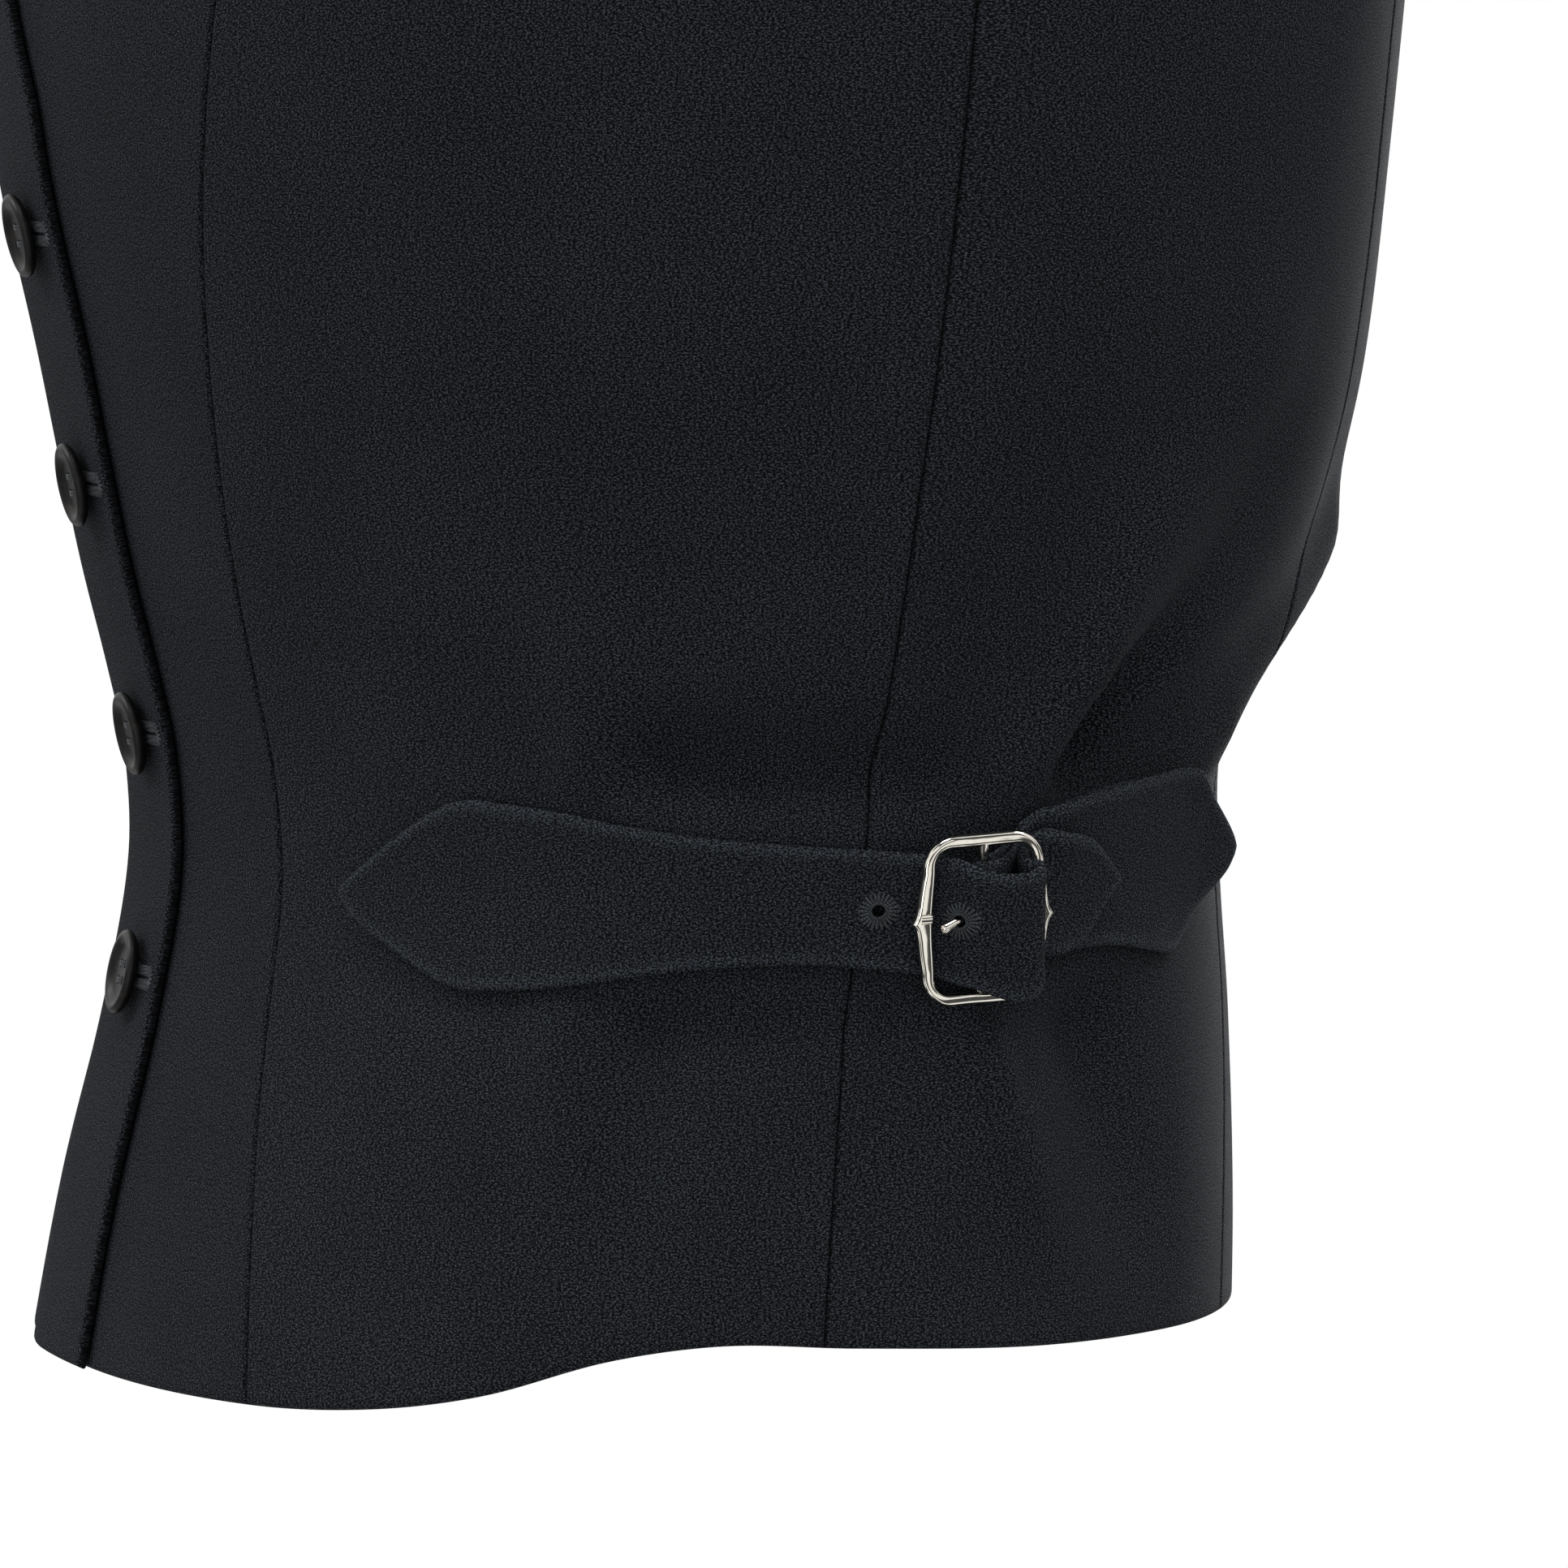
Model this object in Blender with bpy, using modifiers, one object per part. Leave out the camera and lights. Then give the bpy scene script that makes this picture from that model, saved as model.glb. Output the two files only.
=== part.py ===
"""Sleeveless jacket: princess seams, a V neck, a buttoned front and a buckled strap over each side seam.

Blender 4.5, metres, +Z up. The front faces -Y and the wearer's left side is +X. The origin is on the
shoulder line, midway between the two neck points, where the wearer's shoulders hold the jacket.
Tables and sizes are in millimetres and degrees, and MM turns them into metres.
"""

import math
from collections import namedtuple
from functools import lru_cache

import bmesh
import bpy
from mathutils import Matrix, Vector

NAME = "sleeveless_jacket"
MM = 0.001

# Driving sizes
WAIST_DROP = 416.0  # the waist line, where the straps lie, below the neck points
STANCE = 15.0  # the shoulder line lies this far behind the waist's middle
WALL = 1.8  # the cloth with its pressed seam allowances
GAP = 0.3  # between pieces that meet or lie on each other

# Looks
Finish = namedtuple("Finish", "name colour roughness metallic")
CLOTH = Finish("crepe", (0.0142, 0.0168, 0.0200), 0.9, 0.0)
METAL = Finish("polished_nickel", (0.72, 0.69, 0.62), 0.12, 1.0)
HORN = Finish("dark_horn", (0.010, 0.010, 0.011), 0.35, 0.0)

# The worn form in level sections. `along` runs up the cloth from the waist line. Past the chest it
# bends over the shoulder, and height tells how high the section's middle lies. Depths are measured
# from `centre`, the section's middle, which leans back with the wearer's stance. `square` is 2 on an
# ellipse, and more where the section is fuller. `slope` lowers the section's ends, as shoulders do.
Section = namedtuple("Section", "along height half_width front back centre square slope")
SECTIONS = [
    Section(-100, -100, 151.0, 101.0, 104.0, -10.5, 2.1, 0.0),
    Section(-60, -60, 144.0, 98.0, 101.5, -6.3, 2.1, 0.0),
    Section(-25, -25, 138.0, 93.5, 98.0, -2.6, 2.05, 0.0),
    Section(0, 0, 135.0, 92.0, 94.5, 0.0, 2.0, 0.0),
    Section(20, 20, 135.5, 95.0, 92.0, 2.1, 2.0, 0.0),
    Section(34, 34, 137.5, 99.5, 94.5, 3.6, 2.0, 0.0),
    Section(52, 52, 140.0, 106.0, 104.5, 5.5, 2.0, 0.0),
    Section(70, 70, 143.0, 111.5, 109.0, 7.3, 2.05, 0.0),
    Section(90, 90, 146.5, 117.5, 110.5, 9.4, 2.1, 0.0),
    Section(126, 126, 151.0, 129.0, 109.5, 13.2, 2.15, 0.0),
    Section(170, 170, 156.0, 137.0, 109.0, 16.5, 2.2, 0.0),
    Section(205, 205, 160.0, 133.0, 109.0, 18.5, 2.2, 0.0),
    Section(250, 250, 167.0, 120.0, 108.0, 19.5, 2.2, 0.0),
    Section(300, 300, 173.0, 101.0, 102.0, 19.0, 2.2, 6.0),
    Section(345, 346, 177.0, 82.0, 89.0, 17.5, 2.1, 20.0),
    Section(390, 391, 179.0, 59.0, 70.0, 16.0, 2.0, 40.0),
    Section(430, 427, 180.0, 34.0, 42.0, 15.0, 2.0, 60.0),
    Section(455, 446, 180.0, 13.5, 17.0, 15.0, 2.0, 71.0),
    Section(470, 450.0, 180.0, 0.0, 0.0, 15.0, 2.0, 74.4),
    Section(485, 446, 180.0, -17.0, -13.5, 15.0, 2.0, 71.0),
]
SHOULDER = 470  # the ridge of the shoulder. The row above it lies beyond, so the curve is level there.
SHOULDER_EDGE = SHOULDER - 0.35  # where the panels end, at the shoulder seam
SLOPE_ROUNDING = 0.15  # keeps the slope smooth across the middle


def blend(rows, key, value):
    """A smooth curve through the rows of a table, read at `value` of its column `key`."""
    keys = [getattr(row, key) for row in rows]
    last = len(rows) - 2
    at = next((i for i in range(last) if value < keys[i + 1]), last)

    def tangent(i):
        low = max(i - 1, 0)
        high = min(i + 1, len(rows) - 1)
        run = keys[high] - keys[low]
        return [(b - a) / run for a, b in zip(rows[low], rows[high])]

    span = keys[at + 1] - keys[at]
    t = min(max((value - keys[at]) / span, 0.0), 1.0)
    weights = (
        2 * t**3 - 3 * t**2 + 1,
        (t**3 - 2 * t**2 + t) * span,
        3 * t**2 - 2 * t**3,
        (t**3 - t**2) * span,
    )
    columns = zip(rows[at], tangent(at), rows[at + 1], tangent(at + 1))
    return type(rows[0])(*(sum(w * c for w, c in zip(weights, column)) for column in columns))


def smooth(value, start, end):
    share = min(max((value - start) / (end - start), 0.0), 1.0)
    return share * share * (3 - 2 * share)


def section(along):
    return blend(SECTIONS, "along", along)


@lru_cache(maxsize=None)
def form(along, angle):
    """The worn form on the wearer's left side, before folds. Angle 0 is the side, -90 the front."""
    row = section(along)
    turn = math.radians(angle)
    side = math.copysign(abs(math.cos(turn)) ** (2 / row.square), math.cos(turn))
    fore = math.copysign(abs(math.sin(turn)) ** (2 / row.square), math.sin(turn))
    depth = row.front if fore < 0 else row.back
    z = row.height - row.slope * math.hypot(side, SLOPE_ROUNDING)
    return Vector((row.half_width * side, row.centre - STANCE + depth * fore, z - WAIST_DROP))


@lru_cache(maxsize=None)
def outward(along, angle, step=0.5):
    """The form's normal."""
    up = form(along + step, angle) - form(along - step, angle)
    round_form = form(along, angle + step) - form(along, angle - step)
    return round_form.cross(up).normalized()


def angle_at(along, x, back):
    """The angle where the form is x from its middle plane, on the front or on the back."""
    row = section(along)
    ratio = max(-1.0, min(1.0, x / row.half_width))
    turn = math.degrees(math.acos(math.copysign(abs(ratio) ** (row.square / 2), ratio)))
    return turn if back else -turn


# The girth at the waist line, in steps of one degree, as a ruler for what lies along it.
RULER_FROM = -100
RULER = [0.0]
for degree in range(RULER_FROM, 100):
    RULER.append(RULER[-1] + (form(0, degree + 1) - form(0, degree)).length)
RULER_SIDE = RULER[-RULER_FROM]


def angle_round(distance):
    """The angle that lies this far round the waist from the side, towards the back."""
    target = distance + RULER_SIDE
    at = next(i for i in range(len(RULER) - 1) if RULER[i + 1] >= target)
    return RULER_FROM + at + (target - RULER[at]) / (RULER[at + 1] - RULER[at])


# The largest folds: soft ridges that the pull of the straps raises, from one end (along, round the
# girth from the side) to the other. `wide` is the half width, `right` the share on the other side.
Fold = namedtuple("Fold", "along round end_along end_round out end_out wide right")
FOLDS = [
    Fold(92, 56, 38, 33, 0.8, 3.0, 10.0, 0.8),  # from the shoulder blade down to the buckle
    Fold(38, 33, 16, 24, 3.0, 1.5, 9.0, 0.8),
    Fold(56, 128, 28, 92, 4.0, 4.0, 10.0, 0.7),  # from the back down to the short strap's end
    Fold(28, 92, 12, 72, 4.0, 1.0, 9.0, 0.7),
]


def raised(along, distance, side, spread=1.0):
    """How far the folds stand out. A strap that bridges them lies on a wider `spread` of each."""
    total = 0.0
    for fold in FOLDS:
        start = Vector((fold.round, fold.along))
        run = Vector((fold.end_round, fold.end_along)) - start
        offset = Vector((distance, along)) - start
        t = min(max(offset.dot(run) / run.length_squared, 0.0), 1.0)
        gap = (offset - run * t).length / (fold.wide * spread)
        out = fold.out + (fold.end_out - fold.out) * t
        total = max(total, out * math.exp(-gap * gap) * (1.0 if side > 0 else fold.right))
    return total


def distance_of(angle):
    at = min(max(angle - RULER_FROM, 0.0), len(RULER) - 1.001)
    low = int(at)
    return RULER[low] + (RULER[low + 1] - RULER[low]) * (at - low) - RULER_SIDE


def cloth(along, angle, side, out=0.0):
    """A point of the jacket's outer face, moved out. side is 1 on the wearer's left, -1 on the right."""
    lift = raised(along, distance_of(angle), side) + out
    x, y, z = form(along, angle) + outward(along, angle) * lift
    return Vector((side * x, y, z)) * MM


BRIDGE = 1.6  # a strap bridges the folds, so it lies on wider ones
FOLD_FREE = 9.0  # and this near the buckle it leaves them
TURN_REACH = 14.0  # how near the buckle a strap's cross lines turn with it


def near_buckle(distance, reach):
    return math.exp(-(((distance - MID_BAR) / reach) ** 2))


def seat(distance, along, side, out):
    """A point above the cloth near the waist, where a strap that bridges the folds lies."""
    angle = angle_round(distance)
    lift = raised(along, distance, side, BRIDGE) * (1 - near_buckle(distance, FOLD_FREE)) + out
    x, y, z = form(along, angle) + outward(along, angle) * lift
    return Vector((side * x, y, z)) * MM


# Where the panels are cut: x of the front and back seams, and the angle of the side seam.
Cut = namedtuple("Cut", "along front_seam side_angle back_seam")
CUTS = [
    Cut(-100, 80.0, -3.0, 95.0),
    Cut(-60, 69.0, -3.0, 88.0),
    Cut(-30, 59.0, -3.0, 78.0),
    Cut(0, 54.0, -2.7, 73.0),
    Cut(40, 53.0, -2.0, 75.0),
    Cut(85, 60.0, -1.5, 86.0),
    Cut(126, 73.0, -1.5, 94.0),
    Cut(170, 88.0, -1.5, 100.0),
    Cut(205, 94.0, -1.5, 104.0),
    Cut(300, 104.0, -1.5, 112.0),
    Cut(390, 114.0, -1.5, 118.0),
    Cut(470, 122.0, -1.5, 122.0),
]

Hem = namedtuple("Hem", "angle along")
HEM = [
    Hem(-100, -88.0),
    Hem(-60, -87.2),
    Hem(-46, -85.2),
    Hem(-35, -81.5),
    Hem(-23, -74.8),
    Hem(-12, -72.0),
    Hem(0, -72.8),
    Hem(20, -74.3),
    Hem(90, -76.0),
]

OVERLAP = 14.0  # each front passes the middle by this much
NECK_HALF = 78.0  # from the middle to the neck point on the shoulder
V_BREAK = 134.0  # where the front edge turns into the neckline
NAPE = 402.0  # the lowest point of the back neckline
NAPE_COLUMNS = 3  # of the back panel, which the neckline crosses
NAPE_BEND = 2.2  # more makes the neckline rounder
UNDERARM = 195.0

# The armhole's edge from the underarm to the shoulder
Armhole = namedtuple("Armhole", "along front back")
ARMHOLE = [
    Armhole(UNDERARM, -1.5, -1.5),
    Armhole(199, -12.0, 9.0),
    Armhole(214, -22.5, 20.0),
    Armhole(238, -28.5, 26.5),
    Armhole(268, -31.0, 29.5),
    Armhole(300, -31.5, 30.5),
    Armhole(334, -30.5, 30.0),
    Armhole(368, -28.5, 28.5),
    Armhole(402, -26.5, 26.5),
    Armhole(432, -25.0, 25.0),
    Armhole(455, -24.0, 24.0),
    Armhole(SHOULDER_EDGE, -23.6, 23.6),
]

# Levels of the panels' rows above the hem: close at the waist, where the folds are
LOW_LEVELS = [-60, -46, -34, -22, -11, 0, 10, 20, 30, 40, 50, 61, 74, 90, 110, V_BREAK, 155, 175, UNDERARM]
HIGH_SHARES = (9, 18, 28, 38, 49, 60, 71, 81, 90, 96, 100)  # per cent of the way to the shoulder
HIGH_LEVELS = [UNDERARM + (SHOULDER_EDGE - UNDERARM) * share / 100 for share in HIGH_SHARES]


def hem(angle):
    return blend(HEM, "angle", angle).along


def cut(along):
    return blend(CUTS, "along", along)


def front_edge(along):
    """The angle of the front edge, and of the neckline above its break."""
    climb = max(0.0, (along - V_BREAK) / (SHOULDER - V_BREAK))
    return angle_at(along, -OVERLAP + (OVERLAP + NECK_HALF) * climb, back=False)


def front_seam(along):
    return angle_at(along, cut(along).front_seam, back=False)


def side_seam(along):
    return cut(along).side_angle


def back_seam(along):
    return angle_at(along, cut(along).back_seam, back=True)


def middle_back(along):
    return 90.0


def edge_line(angle_of, high=HIGH_LEVELS):
    """A panel's long edge as (along, angle), from the hem to the shoulder."""
    guess = hem(angle_of(LOW_LEVELS[0]))
    foot = hem(angle_of(guess))
    return [(level, angle_of(level)) for level in [foot, *LOW_LEVELS, *high]]


def armhole_line(column):
    """The side seam's edge, then the armhole's."""
    return edge_line(side_seam, high=()) + [(row.along, getattr(row, column)) for row in ARMHOLE[1:]]


def inset(line, towards):
    """The line moved by half a seam gap towards another line."""
    moved = []
    for (along, angle), (_, other) in zip(line, towards):
        per_degree = (form(along, angle + 0.5) - form(along, angle - 0.5)).length
        turn = GAP / 2 / per_degree
        moved.append((along, angle + math.copysign(turn, other - angle)))
    return moved


def panel(name, first, last, columns, side, lap=None, top=None):
    """A cloth wall between two edge lines. `lap` lifts it, and `top` lowers its upper edge."""
    first, last = inset(first, last), inset(last, first)
    outer = []
    inner = []
    for row, ((along_a, angle_a), (along_b, angle_b)) in enumerate(zip(first, last)):
        outer_row = []
        inner_row = []
        for column in range(columns + 1):
            share = column / columns
            angle = angle_a + (angle_b - angle_a) * share
            along = along_a + (along_b - along_a) * share
            if row == 0:
                along = hem(angle)
            if top and along > UNDERARM:
                climb = (along - UNDERARM) / (SHOULDER - UNDERARM)
                along = UNDERARM + (top(column) - UNDERARM) * climb
            lift = lap(along, angle) if lap else 0.0
            outer_row.append(cloth(along, angle, side, lift))
            inner_row.append(cloth(along, angle, side, lift - WALL))
        outer.append(outer_row)
        inner.append(inner_row)
    return slab(name, outer, inner, CLOTH)


LAP_FROM, LAP_TO = OVERLAP + 3, 46  # from the middle: where the upper front starts and ends to come down
LAP_TOP_FROM, LAP_TOP_TO = 200, 260  # and up the neckline


def lap(along, angle):
    """The right front lies over the left one: how far out it is moved."""
    across = 1 - smooth(form(along, angle).x, LAP_FROM, LAP_TO)
    return (WALL + 2 * GAP) * across * (1 - smooth(along, LAP_TOP_FROM, LAP_TOP_TO))


def back_top(column):
    """The back's upper edge: the neckline for the first columns, then the shoulder."""
    share = min(column / NAPE_COLUMNS, 1.0)
    return NAPE + (SHOULDER - NAPE) * share**NAPE_BEND


def collection(name):
    made = bpy.data.collections.new(name)
    bpy.context.scene.collection.children.link(made)
    return made


def material(finish, name):
    made = bpy.data.materials.new(f"{finish.name}_{name}")
    made.use_nodes = True
    shader = made.node_tree.nodes["Principled BSDF"]
    shader.inputs["Base Color"].default_value = (*finish.colour, 1.0)
    shader.inputs["Roughness"].default_value = finish.roughness
    shader.inputs["Metallic"].default_value = finish.metallic
    made.diffuse_color = (*finish.colour, 1.0)
    return made


def add(name, mesh, finish):
    """An object of the part, with its own material."""
    mesh.materials.clear()
    mesh.materials.append(material(finish, name))
    made = bpy.data.objects.new(name, mesh)
    PARTS.objects.link(made)
    return made


def slab(name, outer, inner, finish):
    """A closed body between two grids of points that face each other, smooth but for its rim."""
    rows = len(outer)
    columns = len(outer[0])
    shape = bmesh.new()
    faces = [[[shape.verts.new(point) for point in row] for row in grid] for grid in (outer, inner)]
    for grid in faces:
        for i in range(rows - 1):
            for j in range(columns - 1):
                quad = grid[i][j], grid[i][j + 1], grid[i + 1][j + 1], grid[i + 1][j]
                shape.faces.new(quad).smooth = True
    ring = [(0, j) for j in range(columns)] + [(i, columns - 1) for i in range(1, rows)]
    ring += [(rows - 1, j) for j in range(columns - 2, -1, -1)] + [(i, 0) for i in range(rows - 2, 0, -1)]
    for (a, b), (c, d) in zip(ring, ring[1:] + ring[:1]):
        shape.faces.new((faces[0][a][b], faces[0][c][d], faces[1][c][d], faces[1][a][b]))
    bmesh.ops.recalc_face_normals(shape, faces=shape.faces)
    mesh = bpy.data.meshes.new(name)
    shape.to_mesh(mesh)
    shape.free()
    return add(name, mesh, finish)


# The side adjuster. Distances run round the girth from the side, towards the back.
LEFT_BAR, MID_BAR, RIGHT_BAR = 5.0, 14.9, 24.8
LEFT_OUT, RIGHT_OUT = 5.3, 7.4  # the side bars' middles over the cloth
MID_OUT = 5.77  # the middle bar's, which lies on the line between them over the curved cloth
BUCKLE_LEVEL = -2.0
BUCKLE_HEIGHT = 29.5
BUCKLE_PITCH = 9.0  # degrees that its top leans out
BUCKLE_TURN = 3.0  # degrees that its back end is turned up
BAR_WIDTH = 2.3
BAR_THICK = 1.9
MID_RADIUS = 0.9
STRAP_THICK = 1.5
LOOP_THICK = 1.0

# A strap's middle line: distance round the girth, out from the cloth, its top and bottom edges as
# heights over the waist line, and how much further out the top edge lies than the middle.
Station = namedtuple("Station", "distance out top bottom tilt")
LONG_STRAP = [
    Station(-102.0, 1.05, 0.8, -0.6, 0.0),
    Station(-99.0, 1.05, 3.6, -4.2, 0.0),
    Station(-88.0, 1.05, 11.6, -9.8, 0.0),
    Station(-79.0, 1.05, 16.2, -13.6, 0.0),
    Station(-74.0, 1.05, 17.2, -14.8, 0.0),
    Station(-69.0, 1.05, 17.2, -15.0, 0.0),
    Station(-57.0, 1.05, 16.0, -14.2, 0.0),
    Station(-44.0, 1.05, 13.8, -12.2, 0.0),
    Station(-30.0, 1.05, 12.0, -10.2, 0.0),
    Station(-16.0, 1.05, 10.9, -9.4, 0.0),
    Station(-5.0, 1.1, 10.2, -9.8, 0.1),
    Station(0.0, 1.6, 9.8, -10.6, 0.4),
    Station(3.0, 2.3, 9.4, -11.2, 0.8),
    Station(4.9, 2.75, 9.2, -11.6, 1.0),
    Station(6.3, 3.2, 9.0, -11.9, 1.2),
    Station(7.9, 4.3, 8.7, -12.3, 1.4),
    Station(9.2, 5.75, 8.5, -12.6, 1.5),
    Station(10.4, 7.3, 8.3, -12.9, 1.6),
    Station(11.6, 8.6, 8.0, -13.1, 1.6),
    Station(13.1, 9.4, 7.7, -13.4, 1.7),
    Station(14.9, 9.8, 7.5, -13.8, 1.7),
    Station(18.4, 10.6, 7.2, -14.7, 1.7),
    Station(21.4, 11.1, 7.2, -14.7, 1.7),
    Station(23.2, 10.5, 7.4, -13.4, 1.7),
    Station(23.2, 9.2, 7.6, -12.0, 1.6),
    Station(22.4, 7.5, 8.0, -12.3, 1.5),
    Station(22.8, 5.5, 9.0, -12.0, 1.4),
    Station(24.5, 4.9, 10.4, -11.0, 1.2),
    Station(28.0, 4.5, 12.2, -9.4, 0.9),
    Station(33.0, 4.1, 12.2, -9.0, 0.6),
    Station(38.0, 3.9, 10.8, -6.4, 0.4),
    Station(42.5, 3.8, 7.6, -1.0, 0.1),
    Station(45.5, 3.8, 4.6, 1.8, 0.1),
    Station(46.5, 3.8, 3.6, 2.6, 0.0),
]
SHORT_STRAP = [
    Station(91.0, 5.4, 5.8, 4.2, 0.2),
    Station(88.5, 4.9, 8.2, 1.4, 0.4),
    Station(79.0, 2.5, 15.6, -4.4, 0.9),
    Station(73.5, 2.1, 20.6, -8.2, 1.0),
    Station(68.5, 1.8, 21.4, -11.0, 0.8),
    Station(58.0, 2.1, 20.6, -9.8, 0.4),
    Station(48.0, 2.2, 19.6, -8.4, 0.3),
    Station(38.0, 2.2, 18.4, -8.4, 0.4),
    Station(31.5, 2.3, 17.2, -9.4, 0.5),
    Station(28.0, 2.4, 15.2, -10.4, 0.6),
    Station(25.5, 2.6, 12.6, -11.0, 0.8),
    Station(22.5, 3.8, 9.8, -11.8, 1.2),
    Station(19.0, 6.4, 8.6, -12.4, 1.6),
]
SHORT_RETURN = [
    Station(18.5, 3.1, 8.6, -12.4, 1.5),
    Station(22.0, 2.0, 9.6, -11.6, 0.9),
    Station(26.0, 1.0, 12.6, -10.6, 0.6),
    Station(32.0, 0.8, 16.8, -9.2, 0.2),
    Station(38.0, 0.8, 18.2, -8.2, 0.0),
    Station(50.0, 0.8, 19.6, -8.2, 0.0),
    Station(54.0, 0.8, 19.8, -8.6, 0.0),
]
LOOP_RADIUS = 1.75  # of the strap's middle line round the middle bar
LOOP_FROM, LOOP_TO, LOOP_STEPS = 70, 300, 7  # degrees round the bar
LOOP_TOP, LOOP_BOTTOM, LOOP_TILT = 8.2, -12.4, 1.7
ACROSS = (-1.0, -0.8, -0.35, 0.35, 0.8, 1.0)
ROLLED = (0.5, 0.9, 1.0, 1.0, 0.9, 0.5)  # the thickness at those places across a strap


def resample(stations, spacing):
    """The stations' smooth curve, at even steps along it."""
    Knot = namedtuple("Knot", ("run",) + Station._fields)
    knots = []
    run = 0.0
    for before, here in zip([stations[0], *stations], stations):
        run += math.hypot(here.distance - before.distance, here.out - before.out)
        knots.append(Knot(run, *here))
    count = max(2, round(run / spacing))
    return [Station(*blend(knots, "run", run * i / count)[1:]) for i in range(count + 1)]


def skewed(distance, level):
    """Near the buckle a strap's cross lines turn with it."""
    turn = math.tan(math.radians(BUCKLE_TURN)) * near_buckle(distance, TURN_REACH)
    return distance - (level - BUCKLE_LEVEL) * turn


def plane_out(distance):
    """How far the buckle's plane lies over the curved cloth, along its middle."""
    share = (distance - MID_BAR) / (RIGHT_BAR - MID_BAR)
    ends = (RIGHT_OUT + LEFT_OUT) / 2
    return MID_OUT + (RIGHT_OUT - LEFT_OUT) / 2 * share + (ends - MID_OUT) * share * share


NEAR_LEFT = (10.5, 17.0)  # from the middle bar: where a strap starts and ends to leave the buckle's axes
NEAR_RIGHT = (10.0, 17.0)


def strap_point(distance, level, side, out, tilt, place):
    """A strap's point: square to the middle bar next to it, and over the cloth elsewhere."""
    along = distance - MID_BAR
    near = 1 - (smooth(along, *NEAR_RIGHT) if along > 0 else smooth(-along, *NEAR_LEFT))
    up = level - BUCKLE_LEVEL
    lean = tilt - up * math.tan(math.radians(BUCKLE_PITCH))
    local = Vector((side * along, up, out + lean - plane_out(distance)))
    free = seat(skewed(distance, level), level, side, out + tilt)
    return free.lerp(place @ (local * MM), near)


def ribbon(name, stations, thick, side, place):
    """A strap along stations whose points are a middle line, with rolled edges."""
    outer = []
    inner = []
    for i, here in enumerate(stations):
        before = stations[max(i - 1, 0)]
        after = stations[min(i + 1, len(stations) - 1)]
        run = Vector((after.distance - before.distance, after.out - before.out)).normalized()
        outer_row = []
        inner_row = []
        for across, share in zip(ACROSS, ROLLED):
            level = (here.top + here.bottom) / 2 + (here.top - here.bottom) / 2 * across
            half = thick * share / 2
            for row, way in ((outer_row, half), (inner_row, -half)):
                distance = here.distance - run.y * way
                out = here.out + run.x * way
                row.append(strap_point(distance, level, side, out, here.tilt * across, place))
        outer.append(outer_row)
        inner.append(inner_row)
    return slab(name, outer, inner, CLOTH)


def buckle_place(side):
    """The buckle's own axes as a matrix: X along the strap, Y up the middle bar, Z out."""
    left = seat(LEFT_BAR, BUCKLE_LEVEL, side, LEFT_OUT)
    right = seat(RIGHT_BAR, BUCKLE_LEVEL, side, RIGHT_OUT)
    across = (right - left).normalized() * side
    up = (Vector((0, 0, 1)) - across * across.z).normalized()
    axes = Matrix((across, up, across.cross(up))).transposed().to_4x4()
    turn = Matrix.Rotation(math.radians(BUCKLE_TURN) * side, 4, "Z")
    pitch = Matrix.Rotation(math.radians(BUCKLE_PITCH), 4, "X")
    return Matrix.Translation((left + right) / 2) @ axes @ pitch @ turn


# How far each upright side of the buckle bows out, by the height over its middle
BOW = ((0.0, 1.75), (1.3, 1.15), (3.0, 0.8), (6.0, 0.45), (8.5, 0.0))
HOLE_BOW = ((0.0, 0.5), (4.5, 0.3), (8.5, 0.0))
CORNER_STEPS = 4


def outline(half_x, half_y, corner, bow):
    """A rectangle with round corners whose upright sides bow out."""
    quarter = [(half_x + out, height) for height, out in bow]
    for step in range(CORNER_STEPS + 1):
        turn = math.radians(90 * step / CORNER_STEPS)
        x = half_x - corner + corner * math.cos(turn)
        quarter.append((x, half_y - corner + corner * math.sin(turn)))
    right = [(x, -y) for x, y in quarter[:0:-1]] + quarter
    return right + [(-x, -y) for x, y in right]


def spline(curve, points, closed, radii=None):
    made = curve.splines.new("POLY")
    made.points.add(len(points) - 1)
    for slot, point, radius in zip(made.points, points, radii or [1.0] * len(points)):
        slot.co = (*(value * MM for value in point), 1.0)
        slot.radius = radius
    made.use_cyclic_u = closed


def mesh_of(curve):
    """The curve's mesh, with its caps welded."""
    holder = bpy.data.objects.new("holder", curve)
    bpy.context.scene.collection.objects.link(holder)
    bpy.context.view_layer.update()
    mesh = bpy.data.meshes.new_from_object(holder.evaluated_get(bpy.context.evaluated_depsgraph_get()))
    bpy.data.objects.remove(holder)
    shape = bmesh.new()
    shape.from_mesh(mesh)
    bmesh.ops.remove_doubles(shape, verts=shape.verts, dist=1e-6)
    bmesh.ops.recalc_face_normals(shape, faces=shape.faces)
    shape.to_mesh(mesh)
    shape.free()
    return mesh


def cylinder(radius, height, segments, matrix=Matrix()):
    shape = bmesh.new()
    bmesh.ops.create_cone(shape, cap_ends=True, segments=segments, radius1=radius * MM, radius2=radius * MM,
                          depth=height * MM, matrix=matrix)
    mesh = bpy.data.meshes.new("cylinder")
    shape.to_mesh(mesh)
    shape.free()
    return mesh


def tool(name, mesh, matrix):
    """An object that only joins or cuts."""
    made = bpy.data.objects.new(name, mesh)
    made.matrix_world = matrix
    made.hide_render = True
    made.display_type = "WIRE"
    TOOLS.objects.link(made)
    return made


def boolean(target, other, operation):
    modifier = target.modifiers.new(operation.title(), "BOOLEAN")
    modifier.operation = operation
    modifier.object = other


FRAME_EDGE = 0.5  # the rounding of the frame's edges
OUTER_CORNER, HOLE_CORNER = 5.0, 3.6


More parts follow.
